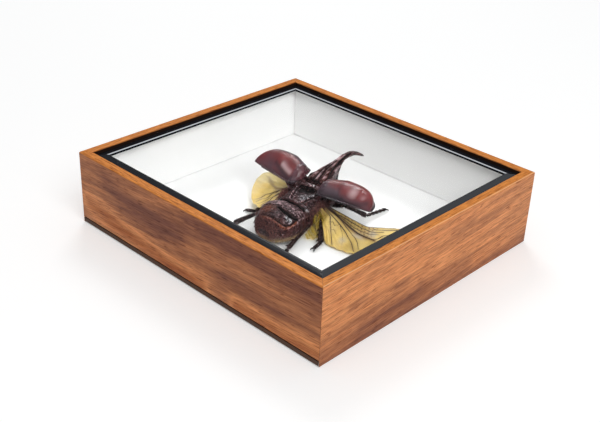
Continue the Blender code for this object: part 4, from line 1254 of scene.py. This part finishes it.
# The hair on each part of a leg: (how many, how long)
THIGH_HAIR = (150, 1.3)
SHIN_HAIR = (190, 1.2)
FOOT_HAIR = (70, 0.8)
FEELER_PATH = [(6.2, 27.4, 8.0), (8.4, 29.8, 8.8), (10.0, 31.4, 8.0), (11.2, 32.4, 6.4)]
FEELER_RADII = [0.55, 0.5, 0.4, 0.5]
FEELER_ROWS = 44
CLUB_PLATES = (-0.55, 0.0, 0.55)


def unit(vector):
    """The vector at length 1."""
    return np.asarray(vector, float) / np.linalg.norm(vector)


def add_segment(limb, start, end, shape, flat, sides=18, arch=0.0, seed=0):
    """A stretch of leg. shape lists (place along it, radius), and arch lifts its middle."""
    middle = (start + end) / 2 + (0, 0, arch)
    path = curve_through([start, middle, end], SEGMENT_ROWS)
    share = np.linspace(0, 1, SEGMENT_ROWS)
    radii = np.interp(share, *np.array(shape).T)
    radii[1:-1] = (radii[:-2] + 2 * radii[1:-1] + radii[2:]) / 4
    radii *= 1 + 0.05 * noise(path, 1.3, seed)
    limb.tube(path, radii, sides, flat, tone=0.25 * noise(path, 2.0, seed).repeat(sides))
    return path, radii


def add_spike(limb, root, way, length, thick):
    """A pointed tooth, a little curved."""
    start = root - unit(way) * thick * 0.6
    end = root + unit(way) * length
    middle = (root + end) / 2 + (0, 0, 0.12 * length)
    path = curve_through([start, middle, end], 8)
    limb.tube(path, thick * np.linspace(1, 0.08, 8) ** 0.8, 8)


def add_claws(limb, toe, ahead):
    """Two hooks that part and bend down."""
    for turn in (-CLAW_SPREAD, CLAW_SPREAD):
        cos, sin = math.cos(turn), math.sin(turn)
        way = np.array([ahead[0] * cos - ahead[1] * sin, ahead[0] * sin + ahead[1] * cos, 0.0])
        bend = np.linspace(0, CLAW_BEND, 12)[:, None]
        drop = np.array([0, 0, 1]) * (1 - np.cos(bend)) * CLAW_DROP
        path = toe + way * np.sin(bend) * CLAW_REACH - drop
        limb.tube(np.vstack([toe - way * 0.5, path]), np.linspace(0.62, 0.14, 13), 8)


def add_teeth(limb, path, radii, ahead):
    """The teeth on the shin's outer side, and the two spurs at its end."""
    outward = np.cross(unit(ahead * (1, 1, 0)), (0, 0, 1))
    outward *= math.copysign(1, -outward[1])
    for place in TOOTH_PLACES:
        at = int(place * (SEGMENT_ROWS - 1))
        root = path[at] + outward * radii[at] * 0.7
        add_spike(limb, root, outward * 0.8 + unit(ahead) * 0.6, *TOOTH)
    for turn in SPUR_TURNS:
        way = unit(ahead) + outward * turn - (0, 0, 0.25)
        add_spike(limb, path[-1] - unit(ahead) * 0.5, way, *SPUR)


def add_foot(limb, ankle, toe, seed):
    """A foot of small joints with its claws, and the points between the joints."""
    joints = np.linspace(ankle + (toe - ankle) * 0.03, toe, FOOT_JOINTS + 1)
    for first, second in zip(joints[:-1], joints[1:]):
        over = (second - first) * 0.1
        add_segment(limb, first - over, second, FOOT_JOINT, 0.85, 12, seed=seed)
    add_claws(limb, toe, unit((toe - ankle) * (1, 1, 0)))
    return joints


def add_leg_hair(limb, path, radii, count, length, random):
    """Hairs all round a stretch of leg, leaning towards the toe."""
    place = random.uniform(0.04, 0.97, count) * (len(path) - 1)
    spot = place.astype(int)
    centre = path[spot] + (path[spot + 1] - path[spot]) * (place - spot)[:, None]
    ways = random.normal(0, 1, (count, 3))
    ahead = unit(path[-1] - path[0])
    ways -= np.outer(ways @ ahead, ahead)
    ways /= np.linalg.norm(ways, axis=1, keepdims=True)
    roots = centre + ways * radii[spot][:, None] * 0.7
    lengths = length * random.uniform(0.5, 1.1, count)
    limb.bristles(roots, ways + ahead * 0.9, lengths, HAIR_RADIUS, droop=0.1, number=1)


def make_leg(name, stops, looks, seed):
    """Thigh, toothed shin with two spurs, a foot of five joints, claws and hair."""
    root, knee, ankle, toe = (np.array(stop) for stop in stops)
    slim = SLIM_LEGS.get(name, 1.0)
    thigh = [(place, radius * slim) for place, radius in THIGH]
    shin = [(place, radius * slim) for place, radius in SHIN]
    limb = Clay()
    thigh_path, thigh_radii = add_segment(limb, root, knee, thigh, 0.8, arch=0.35, seed=seed)
    shin_path, shin_radii = add_segment(limb, knee, ankle, shin, 0.8, arch=0.25, seed=seed + 1)
    add_teeth(limb, shin_path, shin_radii, ankle - knee)
    joints = add_foot(limb, ankle, toe, seed + 2)
    random = np.random.default_rng(seed)
    add_leg_hair(limb, thigh_path, thigh_radii, *THIGH_HAIR, random)
    add_leg_hair(limb, shin_path, shin_radii, *SHIN_HAIR, random)
    add_leg_hair(limb, joints, np.full(len(joints), FOOT_RADIUS), *FOOT_HAIR, random)
    limb.piece(name, looks, [name])


def make_feeler(side_name, side, looks):
    """A bent stalk of small joints with a club of three plates."""
    feeler = Clay()
    path = curve_through(FEELER_PATH, FEELER_ROWS) * (side, 1, 1)
    beads = np.interp(np.linspace(0, 1, FEELER_ROWS), np.linspace(0, 1, len(FEELER_RADII)), FEELER_RADII)
    beads = beads * (0.85 + 0.2 * np.abs(np.sin(np.linspace(0, 22, FEELER_ROWS))))
    feeler.tube(path, beads, 12, tone=0.2)
    for offset in CLUB_PLATES:
        start = path[-1] + (side * 0.5 * offset, offset, 0.1)
        middle = start + (side * 0.9, 0.35, -1.0)
        end = start + (side * 1.5, 0.7, -2.1)
        plate = curve_through([start, middle, end], 14)
        feeler.tube(plate, 0.28 + 0.75 * np.sin(np.linspace(0.15, 3.0, 14)), 14, 0.3, up=(0.3, 1, 0.2))
    name = "feeler_" + side_name
    feeler.piece(name, looks, [name])


# ---------------------------------------------------------------- wings

CASE_LENGTH = 33.8
CASE_WIDTH = 19.4
CASE_HEIGHT = 8.25
CASE_THICKNESS = 0.8
CASE_SHOULDER = 2.7
CASE_BULGE = 2.3
# How far the shoulder rolls down, in degrees, and how near the outer end the skin stops
CASE_ROLL_DOWN = 84
CASE_END = 0.9985
# The inner corner at the body, and the roll, droop and sweep in degrees
CASES = {
    "left": ((-12.8, -9.6, 23.0), 9.7, -0.6, 13.0),
    "right": ((12.2, -11.1, 23.1), -3.2, 0.1, 4.2),
}

WING_THICKNESS = 0.2
WING_SAG = 0.9
# Lines across the hindwing from its root to its margin, each from the front edge to the hind edge
WING_RIGHT = [
    [(13.3, -4.2, 13.8), (13.4, -9.0, 15.0), (13.4, -13.0, 16.2), (13.3, -17.0, 14.0)],
    [
        (40.4, -0.4, 8.8), (40.7, -2.2, 8.3), (40.9, -4.4, 7.7), (40.2, -7.0, 7.0),
        (38.0, -10.2, 6.4), (34.8, -13.2, 6.0), (31.6, -15.0, 5.8), (28.6, -15.9, 5.8),
        (25.8, -16.4, 6.2), (23.2, -16.5, 6.8), (21.0, -15.4, 7.7), (14.8, -12.2, 13.2),
        (15.4, -15.0, 11.4), (17.2, -18.0, 6.6), (16.6, -19.8, 4.6), (14.6, -20.6, 4.6),
        (13.6, -18.6, 8.6),
    ],
    [
        (53.0, 11.8, 6.3), (62.0, 17.5, 5.6), (66.0, 11.5, 5.0), (63.5, 1.0, 4.2),
        (58.5, -10.0, 3.2), (52.5, -18.5, 2.2), (47.4, -22.0, 1.9), (42.0, -23.4, 1.7),
        (36.2, -23.8, 1.7), (30.4, -23.8, 1.7), (26.6, -23.0, 1.2), (15.8, -13.2, 12.0),
        (16.4, -16.6, 9.4), (19.8, -20.4, 1.8), (18.4, -24.4, 1.5), (15.0, -25.8, 1.5),
        (12.8, -25.0, 3.0),
    ],
]
WING_LEFT = [
    [(-13.2, -4.0, 18.4), (-13.4, -8.0, 17.6), (-13.4, -12.0, 16.2), (-13.3, -16.0, 13.8)],
    [
        (-21.6, 1.0, 17.0), (-28.7, 1.2, 15.0), (-30.0, -2.0, 13.6), (-29.5, -5.6, 12.4),
        (-27.9, -9.2, 11.2), (-25.5, -12.4, 10.2), (-22.3, -15.8, 10.4), (-18.7, -18.2, 10.8),
        (-15.5, -19.0, 11.4),
    ],
    [
        (-30.0, 6.0, 16.0), (-44.0, 9.0, 13.0), (-46.6, 4.0, 10.6), (-45.6, -1.2, 8.6),
        (-42.4, -8.0, 6.4), (-37.6, -14.0, 5.4), (-31.4, -19.8, 6.6), (-24.0, -23.6, 7.8),
        (-17.6, -23.0, 9.4),
    ],
]
# Veins, as points over the wing and the radius at the root and at the end
VEINS_RIGHT = [
    ([(13.6, -6.0), (17.4, -5.7), (25.8, -7.0), (33.2, -8.0), (39.1, -8.1), (45.1, -7.4),
      (50.0, -6.6)], 0.95, 0.35),
    ([(13.6, -8.4), (18.0, -8.6), (27.6, -10.5), (34.3, -12.5), (40.0, -16.2),
      (45.0, -20.8)], 0.4, 0.22),
    ([(14.0, -7.2), (21.5, -6.6), (30.6, -8.9), (36.2, -10.4), (42.2, -13.5),
      (46.4, -18.0)], 0.36, 0.2),
    ([(14.0, -9.4), (19.3, -9.8), (22.1, -12.8), (25.3, -16.1), (28.4, -19.6),
      (30.9, -22.8)], 0.36, 0.2),
    ([(16.0, -7.0), (24.0, -5.0), (32.0, -4.2), (39.3, -3.6), (45.8, -0.8), (50.0, 3.0)], 0.34, 0.22),
    ([(15.0, -6.4), (22.0, -5.8), (30.0, -6.2), (37.0, -6.2), (44.0, -4.4), (49.0, -1.0)], 0.32, 0.2),
    ([(44.0, 1.0), (47.7, 3.5), (51.0, 7.2), (55.2, 11.4), (59.0, 14.0)], 0.36, 0.22),
    ([(48.3, -6.9), (50.2, -3.4), (52.5, 1.6), (57.0, 7.0)], 0.34, 0.2),
    ([(27.6, -10.5), (32.0, -14.0), (35.0, -18.0), (37.6, -23.0)], 0.16, 0.1),
    ([(22.1, -12.8), (23.4, -11.8), (25.4, -12.6), (27.0, -10.6)], 0.2, 0.16),
    ([(24.6, -15.6), (26.2, -14.6), (28.4, -15.4)], 0.18, 0.12),
    ([(14.2, -14.0), (14.8, -16.6), (16.2, -19.6)], 0.24, 0.16),
]
VEINS_LEFT = [
    ([(-14.0, -7.0), (-15.9, -7.3), (-19.4, -8.4), (-24.9, -9.1), (-29.3, -11.2),
      (-33.4, -15.4)], 0.45, 0.2),
    ([(-19.4, -8.4), (-23.4, -10.2), (-27.6, -13.8), (-30.6, -18.2)], 0.36, 0.18),
    ([(-14.0, -8.9), (-16.3, -10.0), (-20.2, -12.6), (-22.7, -17.1), (-24.0, -21.6)], 0.4, 0.2),
    ([(-16.3, -10.0), (-21.6, -12.4), (-25.2, -16.4), (-27.6, -20.6)], 0.34, 0.18),
    ([(-14.0, -11.4), (-16.6, -14.4), (-18.6, -20.4)], 0.34, 0.18),
]
# The fold across the left wing, brown, and darkened as painted shade in its valley
LEFT_FOLD = [(-14.0, -6.8), (-16.9, -7.0), (-23.5, -6.3), (-31.2, -1.4), (-38.4, 4.3)]

# What marks each wing case: strokes over (distance out, distance across). Strokes that raise the
# tone are painted highlights, those in dents that lower it painted shade, and the mauve ones partly
# painted reflection
CASE_MARKS = {
    "left": [
        ([(10.4, 5.4), (6.5, 4.5), (2.6, 4.0)], 1.7, 0.5, 0.85, 0.0),
        ([(13.0, 7.4), (9.5, 6.4)], 2.6, 0.3, 0.12, 0.0),
        ([(16.5, 4.6), (8.0, 2.6), (1.0, 1.6)], 1.3, -0.5, -0.6, -0.3),
        ([(27.0, 13.0), (15.0, 15.0), (6.8, 15.0), (1.0, 14.2)], 1.7, 0.0, 0.0, -1.0),
        ([(25.0, 5.0), (20.0, 4.0)], 3.4, -0.2, -0.1, -0.5),
        ([(24.5, 11.0)], 3.2, 0.2, 0.25, -0.2),
        ([(-0.8, 5.2), (-0.6, 8.2)], 0.8, 0.0, 0.35, -0.3),
    ],
    "right": [
        ([(19.4, 5.8)], 3.1, 0.4, 0.8, 0.0),
        ([(26.6, 4.6)], 1.7, 0.1, 0.45, 0.0),
        ([(12.6, 8.6)], 2.6, 0.1, 0.14, -0.2),
        ([(22.6, 4.4), (23.4, 8.6)], 0.8, -0.25, -0.2, 0.0),
        ([(8.0, 2.9), (4.0, 4.2), (0.0, 4.6)], 2.8, 0.0, -0.1, -0.85),
        ([(13.5, 0.9), (7.0, 1.3), (2.0, 1.2), (-1.0, 1.6)], 1.8, -0.3, -0.8, -0.4),
        ([(30.0, 3.0), (24.0, 1.4), (14.0, 1.0)], 1.4, 0.0, -0.55, -0.2),
        ([(9.6, 5.4), (10.6, 2.6)], 1.4, -0.3, -0.2, -0.15),
    ],
}


def case_skin(rows=80, shoulder_rows=16, columns=60):
    """A wing case lying along x: rows run out from the body, columns from the straight inner edge.

    Its shoulder is a quarter turn that rolls down at the body. Beside the grid it gives how far
    along and across each point is, from 0 to 1.
    """
    rolled = np.linspace(CASE_ROLL_DOWN, 0, shoulder_rows, endpoint=False)
    turn = np.radians(np.r_[rolled, np.zeros(rows)])[:, None]
    outward = CASE_END * (1 - (1 - np.linspace(0, 1, rows)) ** 1.8)
    along = np.r_[np.zeros(shoulder_rows), outward][:, None]
    across = (1 - np.cos(np.pi * np.linspace(0, 1, columns)))[None] / 2
    width = CASE_WIDTH * (0.88 + 0.12 * np.minimum(1, along / 0.3)) * (1 - along**4.2) ** 0.5
    pinch = CASE_WIDTH * 0.12 * (1 - np.cos(turn))
    inset = pinch + CASE_WIDTH * 0.03 * np.maximum(0, (along - 0.8) / 0.2) ** 2
    crown = (1 - np.abs(2 * across**1.6 - 1) ** 2.2) ** 0.62
    rise = (0.8 + 0.2 * np.minimum(1, along / 0.3)) * (1 - along**5.2) ** 0.5 * np.cos(turn) ** 0.8
    shoulder = CASE_SHOULDER * (1 - 0.5 * across) + CASE_BULGE * np.sin(np.pi * across)
    length = CASE_LENGTH * along - shoulder * np.sin(turn)
    sideways = inset + np.maximum(0, width - inset - pinch) * across
    grid = np.stack(np.broadcast_arrays(length, sideways, CASE_HEIGHT * crown * rise), -1)
    return grid, along + 0 * across, across + 0 * along


def make_case(side_name, depth, look):
    """A polished shell with a beaded rim, soft swells and dents, and a pitted shoulder."""
    base, roll, droop, sweep = CASES[side_name]
    side = math.copysign(1, base[0])
    grid, along, across = case_skin()
    shoulder = 1 - ramp_up(grid[..., 0] - 0.12 * grid[..., 1], -0.6, 1.2)
    pits = noise(grid, 1.1, 41)
    inland = ramp_up(-along, -0.9, -0.7)
    height = inland * (0.3 * bump(across - 0.985, 0.01) - 0.3 * bump(across - 0.955, 0.012))
    height += inland * (0.25 * bump(across - 0.01, 0.01) - 0.28 * bump(across - 0.035, 0.012))
    marks = strokes(grid[..., :2], CASE_MARKS[side_name])
    height = height + marks[0] + shoulder * 0.35 * pits + 0.04 * noise(grid, 4.0, 42)
    tone = -0.6 * (1 - ramp_up(across, 0.0, 0.12)) - 0.95 * ramp_up(across, 0.94, 0.99)
    # The marks' painted highlights and shade, darker towards the tip, and pale pits on the shoulder that
    # are painted glints
    tone += marks[1] - 0.3 * ramp_up(along, 0.9, 1.0) + shoulder * (np.clip(pits - 0.2, 0, 1) - 0.35)
    tint = marks[2] - 0.45 * (1 - ramp_up(across, 0.08, 0.3)) - 0.5 * shoulder
    grid = grid + sheet_normals(grid) * (depth * height)[..., None]
    turn = Matrix.Rotation(math.radians(side * sweep), 3, "Z")
    turn = turn @ Matrix.Rotation(math.radians(side * droop), 3, "Y")
    turn = turn @ Matrix.Rotation(math.radians(roll), 3, "X")
    grid = (grid * (side, 1, 1)) @ np.array(turn).T + base
    case = Clay()
    case.sheet(grid, CASE_THICKNESS, np.clip(tone, -1, 1), np.clip(tint, -1, 1))
    name = "wing_case_" + side_name
    case.piece(name, [look], [name], 70)


def wing_grid(lines, pleat, rows=110, steps=9):
    """A dense pleated grid through a hindwing's lines. Its first axis runs outward."""
    columns = steps * (len(lines[-1]) - 1) + 1
    spread = []
    for line in lines:
        place = np.linspace(0, len(line) - 1, columns)
        spread.append(np.column_stack([np.interp(place, range(len(line)), axis) for axis in zip(*line)]))
    out = np.linspace(0, 1, rows)
    part = np.minimum((out * (len(lines) - 1)).astype(int), len(lines) - 2)
    share = (out * (len(lines) - 1) - part)[:, None, None]
    spread = np.array(spread)
    grid = spread[part] * (1 - share) + spread[part + 1] * share
    for _ in range(4):
        grid[1:-1] = (grid[:-2] + 2 * grid[1:-1] + grid[2:]) / 4
        grid[:, 1:-1] = (grid[:, :-2] + 4 * grid[:, 1:-1] + grid[:, 2:]) / 6
    wave = np.cos(2 * np.pi * np.linspace(0, len(lines[-1]) - 1, columns))
    grid[..., 2] -= pleat * wave * np.minimum(1, 3 * out)[:, None]
    grid[..., 2] -= WING_SAG * np.sin(np.pi * out)[:, None]
    grid[..., 2] += 0.16 * noise(grid, 4.0, 51) + 0.05 * noise(grid, 1.1, 52)
    return grid


def over_wing(grid, line, count):
    """A smooth line of points that lies on the wing."""
    flat = curve_through(line, count)[:, :2]
    spots = grid.reshape(-1, 3)
    gap = np.linalg.norm(flat[:, None] - spots[None, :, :2], axis=-1)
    nearest = np.argsort(gap, axis=1)[:, :4]
    weight = 1 / (np.take_along_axis(gap, nearest, 1) + 0.05)
    height = (spots[nearest, 2] * weight).sum(1) / weight.sum(1)
    return np.column_stack([flat, height])


def mark_right_wing(points, tone, tint):
    """A hatched haze before the front vein, cream spots of painted glare, an olive fold darkened by
    lying double and by painted shade, and a brown root.
    """
    x, y = points[..., 0], points[..., 1]
    ahead = y - np.interp(x, *np.array(VEINS_RIGHT[0][0]).T)
    band = ramp_up(ahead, 0.0, 0.8) * ramp_up(-x, -50.0, -44.0)
    hatch = 0.5 + 0.5 * np.sin(2.6 * x + 1.2 * y)
    streak = 0.5 + 0.5 * np.sin(3.4 * ahead + 0.5 * x)
    tone = np.maximum(tone, band * (0.3 + 0.55 * hatch * streak))
    # Cream spots: painted glare highlights on the crumpled membrane
    cream = 1.1 * bump(np.hypot((x - 40.0) / 1.6, y + 9.4), 1.9)
    cream += 1.2 * bump(np.hypot(x - 46.0, y + 2.4), 2.2)
    cream += 0.8 * bump(np.hypot(x - 34.4, y + 17.0), 2.4)
    inner = ramp_up(-x, -20.5, -18.0)
    # The olive lobe: darker for lying double, and painted shade beside the abdomen
    olive = 0.9 * ramp_up(-y + 0.4 * (x - 13), 10.0, 14.0) * inner
    tone += 0.2 * bump(y + 0.5 * x - 3.0, 2.2) * ramp_up(x, 36.0, 42.0)
    tone += 0.13 + 0.75 * ramp_up(-x, -24.0, -13.0) * (0.5 + 0.5 * np.sin(2.4 * y + 0.4 * x))
    tone -= 0.9 * ramp_up(-y, 14.0, 18.5) * inner
    return tone, tint - cream + olive


def mark_left_wing(points, tone, tint):
    """A pale front half, a brown fold across it that is darkened as painted shade in its valley, and a
    brown root.
    """
    x, y = points[..., 0], points[..., 1]
    pale = 0.75 * ramp_up(y, -3.0, 2.0) + 0.35 * ramp_up(-x, 33.0, 42.0)
    fold = bump(distance_to(points[..., :2], LEFT_FOLD), 1.1)
    tone += 0.08 * ramp_up(-y, 0.0, 4.0) + 0.6 * fold + 0.35 * ramp_up(x, -27.0, -14.0)
    return tone, tint - pale


# Each hindwing's lines and veins, and what marks it
HINDWINGS = {
    "right": (WING_RIGHT, VEINS_RIGHT, mark_right_wing),
    "left": (WING_LEFT, VEINS_LEFT, mark_left_wing),
}
# How brown the front margin is
MARGIN_TONE = 0.9


def hindwing_marks(grid, veins, mark_wing):
    """The membrane's brown stains, as tone, and its cream and olive areas, as tint."""
    tone = np.zeros(grid.shape[:2])
    for line, thick, _ in veins:
        stain = bump(distance_to(grid[..., :2], line), 0.4 + 1.2 * thick)
        tone = np.maximum(tone, stain * 0.9 * thick)
    tone, tint = mark_wing(grid, tone, 0.3 * noise(grid, 5.0, 55))
    tone[:, 0] = MARGIN_TONE
    return np.clip(tone, -1, 1), np.clip(tint, -1, 1)


def make_hindwing(side_name, pleat, looks):
    """A pleated amber skin with its brown veins standing on both faces."""
    lines, veins, mark_wing = HINDWINGS[side_name]
    grid = wing_grid(lines, pleat)
    wing = Clay()
    tone, tint = hindwing_marks(grid, veins, mark_wing)
    wing.sheet(grid, WING_THICKNESS, tone, tint)
    for line, thick, thin in veins:
        path = over_wing(grid, line, 12 * len(line)) - (0, 0, WING_THICKNESS / 2)
        wing.tube(path, np.linspace(thick, thin, len(path)), 10, 0.8, number=1)
    front = curve_through(grid[::3, 0], 90) - (0, 0, WING_THICKNESS / 2)
    wing.tube(front, np.linspace(0.5, 0.28, 90), 10, 0.9, number=1)
    name = "hindwing_" + side_name
    wing.piece(name, looks, [name], 80)


# ---------------------------------------------------------------- the studio

# The floor's half size, and each lamp's place and size, in metres
FLOOR_HALF = 6.0
KEY_LIGHT = ((1.05, -0.45, 1.15), 0.9)
SIDE_LIGHT = ((-0.8, 0.7, 1.15), 0.5)
LAMP_TARGET = (0.0, 0.0, 0.03)
# The surround is grey up to the first height and white from the second: (height, colour), where 0
# is the horizon and 1 straight up
LOW_SKY = (0.5, (0.16, 0.17, 0.18, 1.0))
HIGH_SKY = (0.85, (1.0, 1.0, 1.0, 1.0))


def make_floor(look):
    """A wide flat floor under the box."""
    mesh = bpy.data.meshes.new("studio_floor")
    corners = [(x * FLOOR_HALF, y * FLOOR_HALF, 0.0) for x, y in ((-1, -1), (1, -1), (1, 1), (-1, 1))]
    mesh.from_pydata(corners, [], [(0, 1, 2, 3)])
    mesh.materials.append(look)
    floor = bpy.data.objects.new("studio_floor", mesh)
    bpy.context.scene.collection.objects.link(floor)


def make_lamp(name, spot, size, power):
    """A square soft light that faces the box."""
    lamp = bpy.data.lights.new(name, "AREA")
    lamp.energy = power
    lamp.size = size
    thing = bpy.data.objects.new(name, lamp)
    thing.location = spot
    thing.rotation_euler = (Vector(spot) - Vector(LAMP_TARGET)).to_track_quat("Z", "Y").to_euler()
    bpy.context.scene.collection.objects.link(thing)


def make_surround(strength):
    """White light from above, and grey from the sides and below."""
    world = bpy.data.worlds.new("white_surround")
    world.use_nodes = True
    nodes, links = world.node_tree.nodes, world.node_tree.links
    surface = nodes["Background"]
    split = nodes.new("ShaderNodeSeparateXYZ")
    ramp = nodes.new("ShaderNodeValToRGB")
    links.new(nodes.new("ShaderNodeTexCoord").outputs["Generated"], split.inputs[0])
    links.new(split.outputs["Z"], ramp.inputs[0])
    links.new(ramp.outputs["Color"], surface.inputs["Color"])
    for stop, (height, colour) in zip(ramp.color_ramp.elements, (LOW_SKY, HIGH_SKY)):
        stop.position = height
        stop.color = colour
    surface.inputs["Strength"].default_value = strength
    bpy.context.scene.world = world


def make_camera():
    """The photograph's camera."""
    camera = bpy.data.cameras.new("photo_camera")
    camera.sensor_fit = "HORIZONTAL"
    camera.sensor_width = SENSOR_WIDTH
    camera.lens = SENSOR_WIDTH * FOCAL_PIXELS / PHOTO_WIDTH
    camera.clip_start = 0.01
    thing = bpy.data.objects.new("photo_camera", camera)
    turn = Matrix.Rotation(math.radians(CAMERA_AZIMUTH), 4, "Z")
    turn = turn @ Matrix.Rotation(math.radians(90 - CAMERA_ELEVATION), 4, "X")
    turn = turn @ Matrix.Rotation(math.radians(CAMERA_ROLL), 4, "Z")
    thing.matrix_world = Matrix.Translation(Vector(CAMERA_SPOT) * MM) @ turn
    bpy.context.scene.collection.objects.link(thing)
    bpy.context.scene.camera = thing


# ---------------------------------------------------------------- operators

def finish_of(name, maker, *settings):
    """The material of that name, made the first time it is asked for."""
    return bpy.data.materials.get(name + FINISH) or maker(*settings)


def beetle_looks(settings):
    """Trunk, limb and bristle finishes."""
    trunk = finish_of("dark_shell", shell_look, "dark_shell", settings.shell_colour)
    limb = finish_of("black_shell", shell_look, "black_shell", settings.limb_colour)
    return trunk, limb, finish_of("red_brown_bristle", bristle_look)


class BEETLEBOX_OT_rails(bpy.types.Operator):
    """Make the four mitred wooden rails"""

    bl_idname = "beetlebox.rails"
    bl_label = "Rails"

    def execute(self, context):
        settings = context.scene.display_box
        look = finish_of("varnished_wood", wood_look, settings)
        for side in SIDES:
            make_rail(side, settings, look)
        return {"FINISHED"}


class BEETLEBOX_OT_strips(bpy.types.Operator):
    """Make the black strips that hold the glass"""

    bl_idname = "beetlebox.strips"
    bl_label = "Glazing strips"

    def execute(self, context):
        look = finish_of("black_strip", strip_look, context.scene.display_box)
        for side in SIDES:
            make_strip(side, look)
        return {"FINISHED"}


class BEETLEBOX_OT_lining(bpy.types.Operator):
    """Finish the base board, the white board and its walls, and the glass"""

    bl_idname = "beetlebox.lining"
    bl_label = "Lining and glass"

    def execute(self, context):
        settings = context.scene.display_box
        white = finish_of("white_board", board_look, settings)
        for node in ("mount_board", "liner_left", "liner_right", "liner_front", "liner_back"):
            dress(node, white)
        dress("base_board", finish_of("dark_board", base_look, settings))
        dress("glass", finish_of("clear_glass", glass_look))
        return {"FINISHED"}


class BEETLEBOX_OT_trunk(bpy.types.Operator):
    """Make the beetle's abdomen, thorax, horned shield and head"""

    bl_idname = "beetlebox.trunk"
    bl_label = "Trunk"

    def execute(self, context):
        settings = context.scene.beetle
        look = beetle_looks(settings)[0]
        depth = settings.sculpture
        make_trunk("abdomen", abdomen_form, depth, [look], tips=(ABDOMEN_TAIL, None))
        make_trunk("thorax", thorax_form, depth, [look], extras=WING_ROOTS)
        ridges = (settings.shell_colour, RIDGED_ROUGH, RIDGED_GRAIN)
        ridged = finish_of("ridged_shell", shell_look, "ridged_shell", *ridges)
        make_trunk("pronotum", pronotum_form, depth, [ridged], tips=(None, HORN_TIP))
        make_head(depth, [look, finish_of("eye", eye_look)])
        return {"FINISHED"}


class BEETLEBOX_OT_bristles(bpy.types.Operator):
    """Grow the trunk's short hair"""

    bl_idname = "beetlebox.bristles"
    bl_label = "Bristles"

    def execute(self, context):
        settings = context.scene.beetle
        make_bristles(settings.bristles, beetle_looks(settings)[2])
        return {"FINISHED"}


class BEETLEBOX_OT_limbs(bpy.types.Operator):
    """Make the six legs and the two feelers"""

    bl_idname = "beetlebox.limbs"
    bl_label = "Legs and feelers"

    def execute(self, context):
        _, limb, hair = beetle_looks(context.scene.beetle)
        for number, (name, stops) in enumerate(LEGS.items()):
            make_leg(name, stops, [limb, hair], 60 + 5 * number)
        for side_name, side in (("left", -1), ("right", 1)):
            make_feeler(side_name, side, [limb])
        return {"FINISHED"}


class BEETLEBOX_OT_wing_cases(bpy.types.Operator):
    """Make the two polished wing cases"""

    bl_idname = "beetlebox.wing_cases"
    bl_label = "Wing cases"

    def execute(self, context):
        settings = context.scene.beetle
        look = finish_of("red_brown_shell", case_look, settings)
        for side_name in CASES:
            make_case(side_name, settings.sculpture, look)
        return {"FINISHED"}


class BEETLEBOX_OT_hindwings(bpy.types.Operator):
    """Make the two veined hindwings"""

    bl_idname = "beetlebox.hindwings"
    bl_label = "Hindwings"

    def execute(self, context):
        settings = context.scene.beetle
        skin = finish_of("amber_membrane", membrane_look, settings)
        looks = [skin, finish_of("brown_vein", vein_look, settings)]
        for side_name in HINDWINGS:
            make_hindwing(side_name, settings.pleat / MM, looks)
        return {"FINISHED"}


class BEETLEBOX_OT_stage(bpy.types.Operator):
    """Set up the floor, the lights and the camera"""

    bl_idname = "beetlebox.stage"
    bl_label = "Floor, lights and camera"

    def execute(self, context):
        settings = context.scene.studio
        make_floor(finish_of("studio_floor", floor_look, settings))
        make_surround(settings.surround)
        make_lamp("key_light", *KEY_LIGHT, settings.key_power)
        make_lamp("side_light", *SIDE_LIGHT, settings.side_power)
        make_camera()
        context.scene.view_settings.view_transform = "Standard"
        return {"FINISHED"}


class BEETLEBOX_PT_panel(bpy.types.Panel):
    """The box's pieces and settings"""

    bl_label = "Beetle Box"
    bl_idname = "BEETLEBOX_PT_panel"
    bl_space_type = "VIEW_3D"
    bl_region_type = "UI"
    bl_category = "Beetle Box"

    def draw(self, context):
        for heading, name, operators in SECTIONS:
            box = self.layout.box()
            box.label(text=heading)
            settings = getattr(context.scene, name)
            for setting in settings.bl_rna.properties:
                if setting.identifier not in ("rna_type", "name"):
                    box.prop(settings, setting.identifier)
            for operator in operators:
                box.operator(operator.bl_idname)


BOX_OPERATORS = (BEETLEBOX_OT_rails, BEETLEBOX_OT_strips, BEETLEBOX_OT_lining)
BEETLE_OPERATORS = (
    BEETLEBOX_OT_trunk, BEETLEBOX_OT_bristles, BEETLEBOX_OT_limbs, BEETLEBOX_OT_wing_cases,
    BEETLEBOX_OT_hindwings,
)
SECTIONS = (
    ("Box", "display_box", BOX_OPERATORS),
    ("Beetle", "beetle", BEETLE_OPERATORS),
    ("Studio", "studio", (BEETLEBOX_OT_stage,)),
)
SETTINGS = {"display_box": BoxSettings, "beetle": BeetleSettings, "studio": StudioSettings}
CLASSES = (*SETTINGS.values(), *BOX_OPERATORS, *BEETLE_OPERATORS, BEETLEBOX_OT_stage, BEETLEBOX_PT_panel)


def register():
    for cls in CLASSES:
        bpy.utils.register_class(cls)
    for name, group in SETTINGS.items():
        setattr(bpy.types.Scene, name, PointerProperty(type=group))


def unregister():
    for name in SETTINGS:
        delattr(bpy.types.Scene, name)
    for cls in reversed(CLASSES):
        bpy.utils.unregister_class(cls)


def main():
    """Registers the add-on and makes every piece."""
    register()
    bpy.ops.beetlebox.stage()
    bpy.ops.beetlebox.rails()
    bpy.ops.beetlebox.strips()
    bpy.ops.beetlebox.lining()
    bpy.ops.beetlebox.trunk()
    bpy.ops.beetlebox.bristles()
    bpy.ops.beetlebox.limbs()
    bpy.ops.beetlebox.wing_cases()
    bpy.ops.beetlebox.hindwings()


if __name__ == "__main__":
    main()
